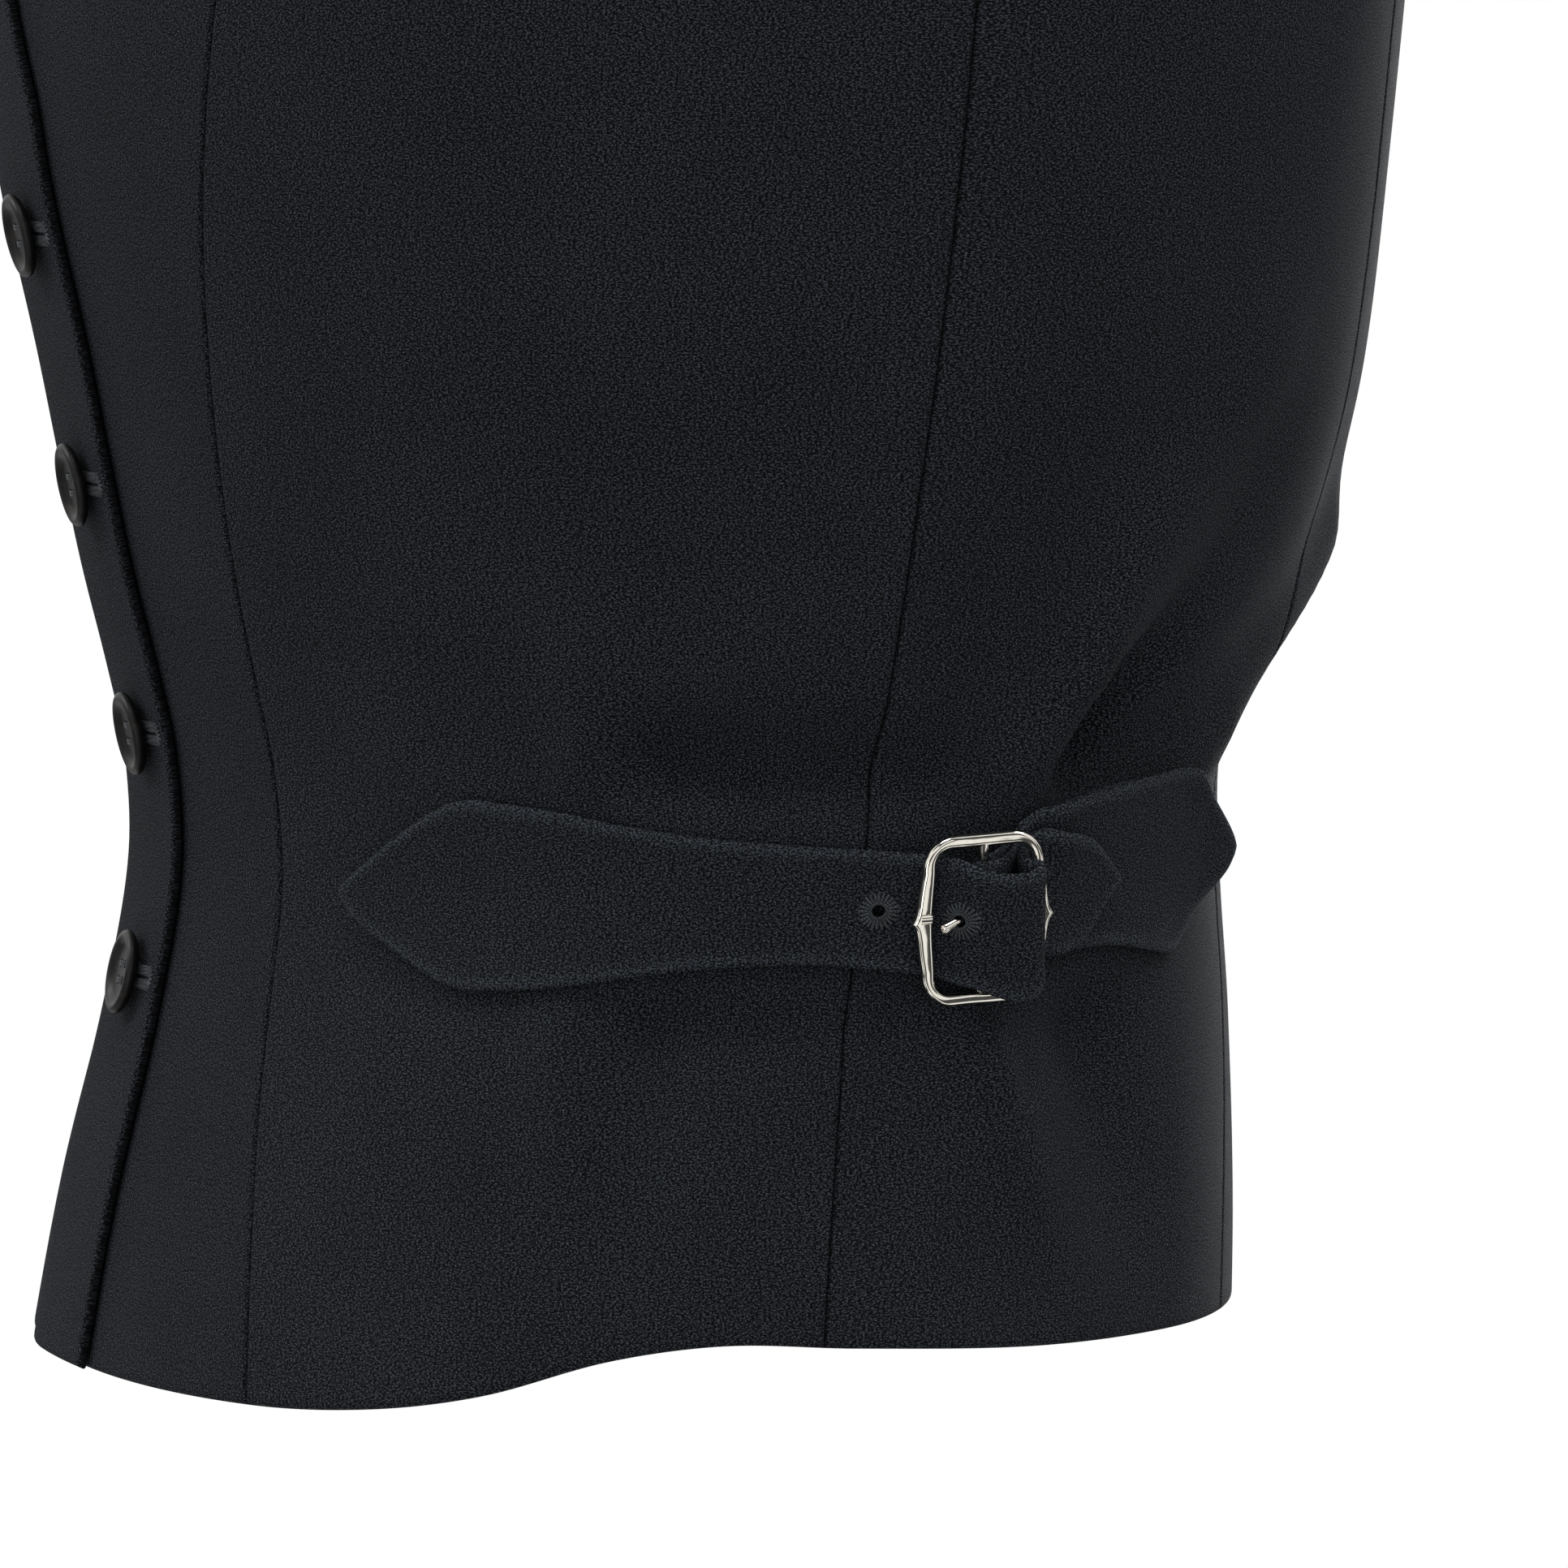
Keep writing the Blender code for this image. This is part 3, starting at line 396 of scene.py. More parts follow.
def panel_grid(first, last, side, lapped=False, nape=False):
    """Outer and inner points of a panel between two edges, and their places on the cloth in mm."""
    (along_a, angle_a), (along_b, angle_b) = first, last
    start = form(along_a, angle_a)
    end = form(along_b, angle_b)
    widths = np.linalg.norm(end - start, axis=1)
    degrees = angle_b - angle_a
    trim = SEAM_GAP / 2 / widths
    angle_a = angle_a + degrees * trim
    angle_b = angle_b - degrees * trim
    shares = columns_between(widths)
    angle = angle_a[:, None] + (angle_b - angle_a)[:, None] * shares
    along = along_a[:, None] + (along_b - along_a)[:, None] * shares
    rise = (along_a[:HEM_ROWS] - along_a[0]) / (LOW_TOP - along_a[0])
    hem = HEM(angle[:HEM_ROWS])
    along[:HEM_ROWS] = hem + (LOW_TOP - hem) * rise[:, None]
    if nape:
        climb = np.clip((along - UNDERARM) / (SHOULDER - UNDERARM), 0.0, 1.0)
        top = NAPE + (SHOULDER - NAPE) * np.minimum(shares / NAPE_SHARE, 1.0) ** NAPE_BEND
        along = np.where(along > UNDERARM, UNDERARM + (top - UNDERARM) * climb, along)
    from_edge = np.minimum(shares, 1 - shares) * widths[:, None]
    from_hem = along - HEM(angle)
    from_top = along[-1:] - along
    from_rim = np.minimum(from_edge, np.minimum(from_hem, np.maximum(from_top, 0)))
    lift = lap(along, angle) if lapped else 0.0
    outer = cloth(along, angle, side, lift - rounding(from_rim, EDGE_ROUND))
    inner = cloth(along, angle, side, lift - WALL + rounding(from_rim, INNER_ROUND))
    places = stack(shares * widths[:, None], along)
    # The last grid is painted shade: it is under 0 next to each side edge, where the colour darkens in the
    # ditch of a seam
    return outer, inner, places, -np.exp(-((from_edge / DITCH) ** 2))


# ---------------------------------------------------------------- meshes


def shell(name, outer, inner, places, worn, material):
    """A closed cloth shell from two grids of points, with a UV map in millimetres.

    Painted light and shade is above 0 where a painted highlight runs along a strap's turned edge, and under 0
    where painted shade darkens the ditch of a seam.
    """
    rows, columns = outer.shape[:2]
    count = rows * columns
    points = np.concatenate([outer.reshape(-1, 3), inner.reshape(-1, 3)])
    index = np.arange(count).reshape(rows, columns)
    quads = stack(index[:-1, :-1], index[:-1, 1:], index[1:, 1:], index[1:, :-1]).reshape(-1, 4)
    ring = np.concatenate([index[0, :-1], index[:-1, -1], index[-1, :0:-1], index[:0:-1, 0]])
    following = np.roll(ring, -1)
    rim = stack(following, ring, ring + count, following + count)
    faces = np.concatenate([quads, quads[:, ::-1] + count, rim])
    mesh = bpy.data.meshes.new(name)
    mesh.from_pydata(points.tolist(), [], faces.tolist())
    flat = np.concatenate([places.reshape(-1, 2)] * 2)
    layer = mesh.uv_layers.new(name="cloth_mm")
    layer.data.foreach_set("uv", flat[faces.ravel()].astype(np.float32).ravel())
    layer = mesh.attributes.new("worn", "FLOAT", "POINT")
    layer.data.foreach_set("value", np.concatenate([worn.ravel()] * 2).astype(np.float32))
    shape = bmesh.new()
    shape.from_mesh(mesh)
    bmesh.ops.recalc_face_normals(shape, faces=shape.faces)
    for face in shape.faces:
        face.smooth = True
    shape.to_mesh(mesh)
    shape.free()
    return placed(name, mesh, material)


def linked(name, data):
    """A new object in the scene."""
    made = bpy.data.objects.new(name, data)
    bpy.context.scene.collection.objects.link(made)
    return made


def placed(name, mesh, material):
    """An object at the origin with one material."""
    mesh.materials.clear()
    mesh.materials.append(material)
    return linked(name, mesh)


def rides(piece, slot, *nodes):
    """The piece rides on the body and stands for its nodes, which it hides. Its slot is not used."""
    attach(piece, "root")
    if nodes:
        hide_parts(*nodes)


def area_of(grid):
    """A grid's area in square metres."""
    across = grid[:-1, 1:] - grid[:-1, :-1]
    up = grid[1:, :-1] - grid[:-1, :-1]
    return float(np.linalg.norm(np.cross(across, up), axis=-1).sum())


def with_modifiers(holder):
    """The object's mesh with its modifiers worked in."""
    bpy.context.view_layer.update()
    depsgraph = bpy.context.evaluated_depsgraph_get()
    return bpy.data.meshes.new_from_object(holder.evaluated_get(depsgraph))


def taken_from(holder):
    """The same mesh, after which the object is gone."""
    mesh = with_modifiers(holder)
    bpy.data.objects.remove(holder)
    return mesh


def cut_by(made, mesh, matrix, operation="DIFFERENCE"):
    """Cuts an object's mesh by another mesh, or joins it on."""
    other = linked("cutter", mesh)
    other.matrix_world = matrix
    modifier = made.modifiers.new("Cut", "BOOLEAN")
    modifier.operation = operation
    modifier.object = other
    result = with_modifiers(made)
    made.modifiers.clear()
    made.data = result
    bpy.data.objects.remove(other)


def mesh_from(shape, name):
    """A mesh from a bmesh, after which the bmesh is gone."""
    mesh = bpy.data.meshes.new(name)
    shape.to_mesh(mesh)
    shape.free()
    return mesh


def tube(radius, height, segments, matrix=Matrix()):
    """A round bar in millimetres, upright until the matrix turns it."""
    shape = bmesh.new()
    bmesh.ops.create_cone(
        shape,
        cap_ends=True,
        segments=segments,
        radius1=radius * MM,
        radius2=radius * MM,
        depth=height * MM,
        matrix=matrix,
    )
    return mesh_from(shape, "tube")


def smooth_by_angle(mesh, degrees=40):
    """Smooth faces, but for edges sharper than that."""
    mesh.shade_smooth()
    shape = bmesh.new()
    shape.from_mesh(mesh)
    for edge in shape.edges:
        edge.smooth = edge.calc_face_angle(0.0) < math.radians(degrees)
    shape.to_mesh(mesh)
    shape.free()


# ---------------------------------------------------------------- the side adjuster

LEFT_BAR, MID_BAR, RIGHT_BAR = 5.0, 14.9, 24.8  # how far behind the side the buckle's bars lie
LEFT_OUT, RIGHT_OUT = 5.3, 7.4  # how far they stand off the form
MID_OUT = 5.77
BUCKLE_LEVEL = -2.0  # its middle, from the waist line
BUCKLE_HEIGHT = 29.5
BUCKLE_PITCH = 9.0  # its top leans out
BUCKLE_TURN = 3.0  # its back bar is turned up
BAR_WIDTH = 2.3
BAR_THICK = 1.9
MID_RADIUS = 0.9
STRAP_THICK = 1.5  # the long strap
LOOP_THICK = 1.0  # the short strap, which loops the middle bar
BRIDGE = 1.6  # a strap lies over each fold as if it were so much wider
FOLD_FREE = 9.0  # so near to the middle bar the straps leave the folds
TURN_REACH = 14.0  # so near to it they follow the buckle's turn
NEAR_LEFT = (10.5, 17.0)  # from the middle bar: square to the buckle up to here, over the cloth from here
NEAR_RIGHT = (10.0, 17.0)

STATION_COLUMNS = ("distance", "out", "top", "bottom", "tilt")
LONG_STRAP = (
    (-103.0, 3.0, 0.8, -0.6, 0.0),
    (-99.0, 2.8, 4.0, -4.4, 0.0),
    (-88.0, 2.2, 11.6, -9.8, 0.0),
    (-79.0, 1.8, 16.4, -13.8, 0.0),
    (-74.0, 1.6, 17.4, -15.0, 0.0),
    (-69.0, 1.4, 17.2, -15.0, 0.0),
    (-57.0, 1.3, 16.0, -14.2, 0.0),
    (-44.0, 1.2, 13.8, -12.2, 0.0),
    (-30.0, 1.1, 12.0, -10.2, 0.0),
    (-16.0, 1.05, 10.9, -9.4, 0.0),
    (-5.0, 1.1, 10.2, -9.8, 0.1),
    (0.0, 1.6, 9.8, -10.6, 0.4),
    (3.0, 2.3, 9.4, -11.2, 0.8),
    (4.9, 2.75, 9.2, -11.6, 1.0),
    (6.3, 3.2, 9.1, -11.9, 1.2),
    (7.9, 4.3, 9.2, -12.3, 1.4),
    (9.2, 5.75, 9.1, -12.6, 1.5),
    (10.4, 7.3, 8.8, -12.9, 1.6),
    (11.6, 8.6, 8.3, -13.1, 1.6),
    (13.1, 9.4, 7.6, -13.6, 1.7),
    (14.9, 9.8, 7.0, -14.4, 1.7),
    (18.4, 10.6, 6.5, -15.6, 1.7),
    (21.4, 11.1, 6.6, -15.8, 1.7),
    (23.2, 11.1, 7.1, -15.2, 1.7),
    (24.1, 10.7, 7.5, -14.6, 1.7),
    (24.4, 10.0, 7.8, -13.8, 1.6),
    (24.0, 9.2, 7.9, -13.0, 1.6),
    (23.1, 8.4, 8.0, -12.5, 1.6),
    (22.5, 7.4, 8.0, -12.3, 1.5),
    (22.5, 6.3, 8.5, -12.2, 1.4),
    (22.9, 5.5, 9.0, -12.0, 1.4),
    (24.5, 4.9, 10.4, -11.0, 1.2),
    (28.0, 4.5, 12.2, -9.4, 0.9),
    (33.0, 4.1, 12.2, -9.0, 0.6),
    (38.0, 3.9, 10.8, -6.4, 0.4),
    (42.5, 3.8, 7.6, -1.0, 0.1),
    (45.5, 3.8, 4.6, 1.8, 0.1),
    (46.5, 3.8, 3.6, 2.6, 0.0),
)
SHORT_STRAP = (
    (91.0, 5.4, 5.8, 4.2, 0.2),
    (88.5, 4.9, 8.2, 1.4, 0.4),
    (79.0, 2.5, 15.6, -4.4, 0.9),
    (73.5, 2.1, 20.6, -8.2, 1.0),
    (68.5, 1.8, 21.4, -11.0, 0.8),
    (58.0, 2.1, 20.6, -9.8, 0.4),
    (48.0, 2.2, 19.6, -8.4, 0.3),
    (38.0, 2.2, 18.4, -8.4, 0.4),
    (31.5, 2.3, 17.2, -9.4, 0.5),
    (28.0, 2.4, 15.2, -10.4, 0.6),
    (25.5, 2.6, 12.6, -11.0, 0.8),
    (22.5, 3.8, 9.8, -11.8, 1.2),
    (19.0, 6.4, 8.6, -12.4, 1.6),
)
SHORT_RETURN = (
    (18.5, 3.1, 8.6, -12.4, 1.5),
    (22.0, 2.0, 9.6, -11.6, 0.9),
    (26.0, 1.0, 12.6, -10.6, 0.6),
    (32.0, 0.8, 16.8, -9.2, 0.2),
    (38.0, 0.8, 18.2, -8.2, 0.0),
    (50.0, 0.8, 19.6, -8.2, 0.0),
    (54.0, 0.8, 19.8, -8.6, 0.0),
)
LOOP_RADIUS = 1.75  # round the middle bar
LOOP_FROM, LOOP_TO = 70, 300
LOOP_STATIONS = 8
LOOP_TOP, LOOP_BOTTOM, LOOP_TILT = 8.2, -12.4, 1.7


def near_buckle(distance, reach):
    """1 at the middle bar, and less with the distance from it."""
    return np.exp(-(((distance - MID_BAR) / reach) ** 2))


def seat(distance, along, side, out):
    """Points over the cloth near the waist, where a strap that bridges the folds lies, in mm."""
    angle = angle_round(distance)
    lift = folds(along, distance, side, BRIDGE) * (1 - near_buckle(distance, FOLD_FREE)) + out
    return (form(along, angle) + outward(along, angle) * lift[..., None]) * (side, 1, 1)


def one_seat(distance, along, side, out):
    point = seat(np.array(distance), np.array(along), side, np.array(out))
    return Vector(point.tolist())


def buckle_place(side):
    """The buckle's axes in millimetres: X along the strap, Y up the middle bar, Z out."""
    left = one_seat(LEFT_BAR, BUCKLE_LEVEL, side, LEFT_OUT)
    right = one_seat(RIGHT_BAR, BUCKLE_LEVEL, side, RIGHT_OUT)
    across = (right - left).normalized() * side
    up = (Vector((0, 0, 1)) - across * across.z).normalized()
    axes = Matrix((across, up, across.cross(up))).transposed().to_4x4()
    turn = Matrix.Rotation(math.radians(BUCKLE_TURN) * side, 4, "Z")
    pitch = Matrix.Rotation(math.radians(BUCKLE_PITCH), 4, "X")
    return Matrix.Translation((left + right) / 2) @ axes @ pitch @ turn


PLACES = {side: buckle_place(side) for side, _ in SIDES}


def metres(matrix):
    """The same place with its shift in metres."""
    moved = matrix.copy()
    moved.translation = matrix.translation * MM
    return moved


def plane_out(distance):
    """How far the buckle's middle plane stands off the form."""
    share = (distance - MID_BAR) / (RIGHT_BAR - MID_BAR)
    ends = (RIGHT_OUT + LEFT_OUT) / 2
    return MID_OUT + (RIGHT_OUT - LEFT_OUT) / 2 * share + (ends - MID_OUT) * share * share


def strap_points(distance, level, side, out, tilt):
    """Points of a strap, in metres: square to the buckle near it, and over the cloth elsewhere."""
    distance, level, out, tilt = np.broadcast_arrays(distance, level, out, tilt)
    along = distance - MID_BAR
    near = 1 - np.where(along > 0, ease(along, *NEAR_RIGHT), ease(-along, *NEAR_LEFT))
    up = level - BUCKLE_LEVEL
    lean = tilt - up * math.tan(math.radians(BUCKLE_PITCH))
    local = stack(side * along, up, out + lean - plane_out(distance))
    place = np.array(PLACES[side])
    held = local @ place[:3, :3].T + place[:3, 3]
    turn = math.tan(math.radians(BUCKLE_TURN)) * near_buckle(distance, TURN_REACH)
    free = seat(distance - up * turn, level, side, out + tilt)
    return (free + (held - free) * near[..., None]) * MM


RUN_STEP = 0.3  # a strap's slope is measured over this much to each side
LEAST_HALF = 0.2  # of a strap's height, at its pointed ends
RUN_SAMPLES = 4000


class Ribbon:
    """A strap along stations, whose points are asked for by run, level and depth."""

    def __init__(self, stations, thick, side):
        rows = np.array(stations, float)
        steps = np.hypot(*np.diff(rows[:, :2], axis=0).T)
        run = np.concatenate([[0.0], np.cumsum(steps)])
        self.length = run[-1]
        self.line = {name: smooth_curve(run, rows[:, i]) for i, name in enumerate(STATION_COLUMNS)}
        self.thick = thick
        self.side = side

    def points(self, run, level, depth):
        """Depth 1 is the strap's face and -1 its back."""
        line = self.line
        before, after = np.maximum(run - RUN_STEP, 0), np.minimum(run + RUN_STEP, self.length)
        dx = line["distance"](after) - line["distance"](before)
        dy = line["out"](after) - line["out"](before)
        size = np.maximum(np.hypot(dx, dy), 1e-9)
        half = self.thick / 2 * depth
        top, bottom = line["top"](run), line["bottom"](run)
        across = (level - (top + bottom) / 2) / np.maximum((top - bottom) / 2, LEAST_HALF)
        distance = line["distance"](run) - dy / size * half
        out = line["out"](run) + dx / size * half
        return strap_points(distance, level, self.side, out, line["tilt"](run) * across)

    def run_at(self, distance):
        """The first run that reaches a distance."""
        runs = np.linspace(0, self.length, RUN_SAMPLES)
        reached = self.line["distance"](runs)
        ahead = (reached - distance) * np.sign(reached[-1] - reached[0]) >= 0
        return float(runs[np.argmax(ahead)])


STRAP_ACROSS = 26
STRAP_CELL = 0.5
ROLL = 1.5  # how far in from a strap's edge its face starts to roll
END_LEFT = 0.15  # of that distance, at both ends of its run
LEAST_DEPTH = 0.02  # the share of its thickness that is left at its edge
EDGE_LINE = 3.4  # the turned allowance ends here and shows as a faint step
EDGE_STEP, EDGE_SOFT = 0.2, 0.5
EDGE_HIGHLIGHT_AT, EDGE_HIGHLIGHT_WIDE = 0.9, 1.0  # the painted highlight along a turned edge: how far in it lies, and how wide


def strap_shell(name, ribbon, material):
    """A strap of two layers turned out, with rolled edges and the step of its turned allowance."""
    count = max(8, round(ribbon.length / STRAP_CELL))
    run = np.linspace(0, ribbon.length, count + 1)[:, None]
    turns = np.linspace(-math.pi / 2, math.pi / 2, STRAP_ACROSS)[None, :]
    across = np.sin(turns)
    top, bottom = ribbon.line["top"](run), ribbon.line["bottom"](run)
    half = (top - bottom) / 2
    level = (top + bottom) / 2 + half * across
    from_edge = np.minimum(half * (1 - np.abs(across)), np.minimum(run, ribbon.length - run) + END_LEFT)
    inside = np.clip(1 - from_edge / ROLL, 0.0, 1.0)
    turned = EDGE_STEP / ribbon.thick * (1 - ease(from_edge, EDGE_LINE - EDGE_SOFT, EDGE_LINE + EDGE_SOFT))
    depth = np.sqrt(np.maximum(1 - inside**2, LEAST_DEPTH**2)) * (1 + turned)
    outer = ribbon.points(run, level, depth)
    inner = ribbon.points(run, level, -depth)
    places = stack(run + 0 * level, level)
    # Painted highlight: a paler band in the colour along the strap's edges
    worn = np.exp(-(((from_edge - EDGE_HIGHLIGHT_AT) / EDGE_HIGHLIGHT_WIDE) ** 2))
    made = shell(name, outer, inner, places, worn, material)
    return made, area_of(outer)


# ---------------------------------------------------------------- materials


def linear(hex_colour):
    """An sRGB hex colour as linear RGBA."""
    parts = [int(hex_colour[i : i + 2], 16) / 255 for i in (1, 3, 5)]
    return (*(c / 12.92 if c <= 0.04045 else ((c + 0.055) / 1.055) ** 2.4 for c in parts), 1.0)


def give(tree, made, inputs):
    """Links or sets a node's own sockets."""
    for key, value in inputs.items():
        if isinstance(value, bpy.types.NodeSocket):
            tree.links.new(value, made.inputs[key])
        else:
            made.inputs[key].default_value = value


def node(tree, kind, inputs=None, **settings):
    """Adds a node with its settings and links."""
    made = tree.nodes.new(kind)
    for key, value in settings.items():
        setattr(made, key, value)
    give(tree, made, inputs or {})
    return made


def new_material(name):
    """A material with an empty tree but for its shader and output."""
    made = bpy.data.materials.new(name)
    made.use_nodes = True
    return made, made.node_tree, made.node_tree.nodes["Principled BSDF"]


def ramp(tree, factor, stops):
    """A colour between stops of position and hex colour."""
    made = node(tree, "ShaderNodeValToRGB", {"Fac": factor})
    elements = made.color_ramp.elements
    while len(elements) < len(stops):
        elements.new(0.5)
    for element, (position, colour) in zip(elements, stops):
        element.position = position
        element.color = linear(colour)
    return made.outputs["Color"]


def mixed(tree, factor, first, second):
    return node(tree, "ShaderNodeMix", {0: factor, 6: first, 7: second}, data_type="RGBA").outputs[2]


def on_piece(tree):
    """Places in the piece's own axes, in metres."""
    return node(tree, "ShaderNodeTexCoord").outputs["Object"]


def stretched(tree, place, scale, rotation=(0.0, 0.0, 0.0)):
    """Places scaled and turned."""
    inputs = {"Vector": place, "Scale": scale, "Rotation": rotation}
    return node(tree, "ShaderNodeMapping", inputs).outputs["Vector"]


def noise(tree, place, scale=1.0, detail=2.0, roughness=0.5, dimensions="3D"):
    """An uneven pattern between 0 and 1."""
    inputs = {"Vector": place, "Scale": scale, "Detail": detail, "Roughness": roughness}
    return node(tree, "ShaderNodeTexNoise", inputs, noise_dimensions=dimensions).outputs["Fac"]


def relief(tree, height, strength, depth):
    """The normal of a face with so many millimetres of relief."""
    inputs = {"Height": height, "Strength": strength, "Distance": depth * MM}
    return node(tree, "ShaderNodeBump", inputs).outputs["Normal"]


def ranged(tree, value, **ends):
    """The value moved from one range to another: From Min, From Max, To Min and To Max."""
    inputs = {key.replace("_", " ").title(): end for key, end in ends.items()}
    return node(tree, "ShaderNodeMapRange", {"Value": value, **inputs}).outputs["Result"]


def crepe_material(props):
    """Wool crepe: tightly twisted yarn gives a dry, pebbled face in level rows, with hardly any shine."""
    made, tree, shader = new_material("wool_crepe")
    place = node(tree, "ShaderNodeUVMap", uv_map="cloth_mm").outputs["UV"]
    # The pebbles lie in level rows, and each is about one and a half times as long as it is high
    row = props.yarn_spacing
    grain_place = stretched(tree, place, (0.95 / row, 1.45 / row, 1.0))
    grain = noise(tree, grain_place, detail=3.0, roughness=0.65, dimensions="2D")
    pebbles = node(
        tree,
        "ShaderNodeTexVoronoi",
        {"Vector": grain_place, "Scale": 0.9, "Randomness": 1.0},
        voronoi_dimensions="2D",
        feature="SMOOTH_F1",
    ).outputs["Distance"]
    broad = noise(tree, place, 1 / props.mottle_size, dimensions="2D")
    height = node(tree, "ShaderNodeMath", {0: pebbles, 1: -0.6}, operation="MULTIPLY").outputs[0]
    height = node(tree, "ShaderNodeMath", {0: grain, 1: height}, operation="ADD").outputs[0]
    speck = node(tree, "ShaderNodeMath", {0: broad, 1: 0.05, 2: height}, operation="MULTIPLY_ADD").outputs[0]
    stops = ((0.21, props.cloth_dark), (0.35, props.cloth_mid), (0.52, props.cloth_light))
    colour = ramp(tree, speck, stops)
    worn = node(tree, "ShaderNodeAttribute", attribute_name="worn").outputs["Fac"]
    # Painted highlight: a paler band in the colour along a strap's turned edge, where the edge catches the
    # light
    paler = ranged(tree, worn, to_max=props.painted_highlight_share)
    pressed = ramp(tree, speck, ((0.21, props.cloth_mid), (0.52, props.painted_highlight_colour)))
    colour = mixed(tree, paler, colour, pressed)
    # Painted shade: little light comes out of the ditch of a seam, so its colour is darkened there
    shaded = ranged(tree, worn, from_max=-1.0, to_max=0.8)
    give(tree, shader, {
        "Base Color": mixed(tree, shaded, colour, linear("#050506")),
        "Normal": relief(tree, height, props.grain_strength, 0.3),
        "Roughness": 0.9,
        "Specular IOR Level": props.cloth_shine,
        "Sheen Weight": props.cloth_sheen,
        "Sheen Roughness": 0.35,
        "Sheen Tint": linear("#9aa3ad"),
    })
    return made


def thread_material(props):
    """Buttonhole twist: silky yarn of three plies, a little brighter than the cloth."""
    made, tree, shader = new_material("buttonhole_twist")
    inputs = {"Vector": on_piece(tree), "Scale": 900.0, "Distortion": 4.0}
    plies = node(tree, "ShaderNodeTexWave", inputs, bands_direction="DIAGONAL").outputs["Fac"]
    give(tree, shader, {
        "Base Color": ramp(tree, plies, ((0.0, "#0f1113"), (1.0, props.thread_colour))),
        "Normal": relief(tree, plies, 0.4, 0.05),
        "Roughness": 0.55,
        "Specular IOR Level": 0.25,
        "Sheen Weight": 0.1,
    })
    return made


def nickel_material(props):
    """Polished nickel plate: a warm, pale mirror with faint wipe marks."""
    made, tree, shader = new_material("polished_nickel")
    place = on_piece(tree)
    marks = noise(tree, stretched(tree, place, (900.0, 900.0, 120.0)))
    # Hand polishing leaves the faces slightly wavy, which breaks what they mirror into streaks
    waves = noise(tree, place, 130.0, detail=1.0)
    blur = props.metal_roughness
    give(tree, shader, {
        "Base Color": ramp(tree, marks, ((0.2, "#e3ddd0"), (0.8, props.metal_colour))),
        "Normal": relief(tree, waves, 1.0, 0.35),
        "Roughness": ranged(tree, marks, to_min=blur * 0.6, to_max=blur * 1.6),
        "Metallic": 1.0,
    })
    return made


def horn_material(props):
    """Dark horn: turned and buffed, with brown streaks that run across each button."""
    made, tree, shader = new_material("buffed_horn")
    streaks = noise(tree, stretched(tree, on_piece(tree), (160.0, 160.0, 700.0), (0.2, 0.4, 0.0)), detail=4.0)
    give(tree, shader, {
        "Base Color": ramp(tree, streaks, ((0.35, "#0b0b0c"), (0.6, props.horn_colour), (0.85, "#2c2622"))),
        "Roughness": 0.45,
        "Specular IOR Level": 0.25,
    })
    return made


def material(name, props):
    """The named material, made the first time that it is asked for."""
    makers = {
        "wool_crepe": crepe_material,
        "buttonhole_twist": thread_material,
        "polished_nickel": nickel_material,
        "buffed_horn": horn_material,
    }
    return bpy.data.materials.get(name) or makers[name](props)


# ---------------------------------------------------------------- worked stitches


ARCH_PARTS = 7
THREAD_SIDES = 6


def stitch_tree():
    """A Geometry Nodes tree that lays an arched thread on each point, along its `lie` and `out`."""
    name = "worked_stitches"
    if name in bpy.data.node_groups:
        return bpy.data.node_groups[name]
    tree = bpy.data.node_groups.new(name, "GeometryNodeTree")
    asked = {"Geometry": "Geometry", "Thread Radius": "Float", "Arch": "Float", "Material": "Material"}
    for socket, kind in asked.items():
        tree.interface.new_socket(socket, in_out="INPUT", socket_type=f"NodeSocket{kind}")
    tree.interface.new_socket("Geometry", in_out="OUTPUT", socket_type="NodeSocketGeometry")
    given = node(tree, "NodeGroupInput").outputs
    peak = node(tree, "ShaderNodeCombineXYZ", {"X": 0.5, "Z": given["Arch"]}).outputs[0]
    inputs = {"Resolution": ARCH_PARTS, "Start": (0, 0, 0), "Middle": peak, "End": (1, 0, 0)}
    arc = node(tree, "GeometryNodeCurveQuadraticBezier", inputs).outputs["Curve"]
    inputs = {"Resolution": THREAD_SIDES, "Radius": given["Thread Radius"]}
    ring = node(tree, "GeometryNodeCurvePrimitiveCircle", inputs).outputs["Curve"]
    inputs = {"Curve": arc, "Profile Curve": ring, "Fill Caps": True}
    thread = node(tree, "GeometryNodeCurveToMesh", inputs).outputs["Mesh"]
    lie = node(tree, "GeometryNodeInputNamedAttribute", {"Name": "lie"}, data_type="FLOAT_VECTOR").outputs[0]
    out = node(tree, "GeometryNodeInputNamedAttribute", {"Name": "out"}, data_type="FLOAT_VECTOR").outputs[0]
    inputs = {"Primary Axis": lie, "Secondary Axis": out}
    turn = node(tree, "FunctionNodeAxesToRotation", inputs, primary_axis="X", secondary_axis="Z").outputs[0]
    long = node(tree, "ShaderNodeVectorMath", {0: lie}, operation="LENGTH").outputs["Value"]
    scale = node(tree, "ShaderNodeCombineXYZ", {"X": long, "Y": 1.0, "Z": 1.0}).outputs[0]
    inputs = {"Points": given["Geometry"], "Instance": thread, "Rotation": turn, "Scale": scale}
    laid = node(tree, "GeometryNodeInstanceOnPoints", inputs).outputs["Instances"]
    real = node(tree, "GeometryNodeRealizeInstances", {"Geometry": laid}).outputs["Geometry"]
    shaded = node(tree, "GeometryNodeSetMaterial", {"Geometry": real, "Material": given["Material"]})
    node(tree, "NodeGroupOutput", {"Geometry": shaded.outputs["Geometry"]})
    return tree


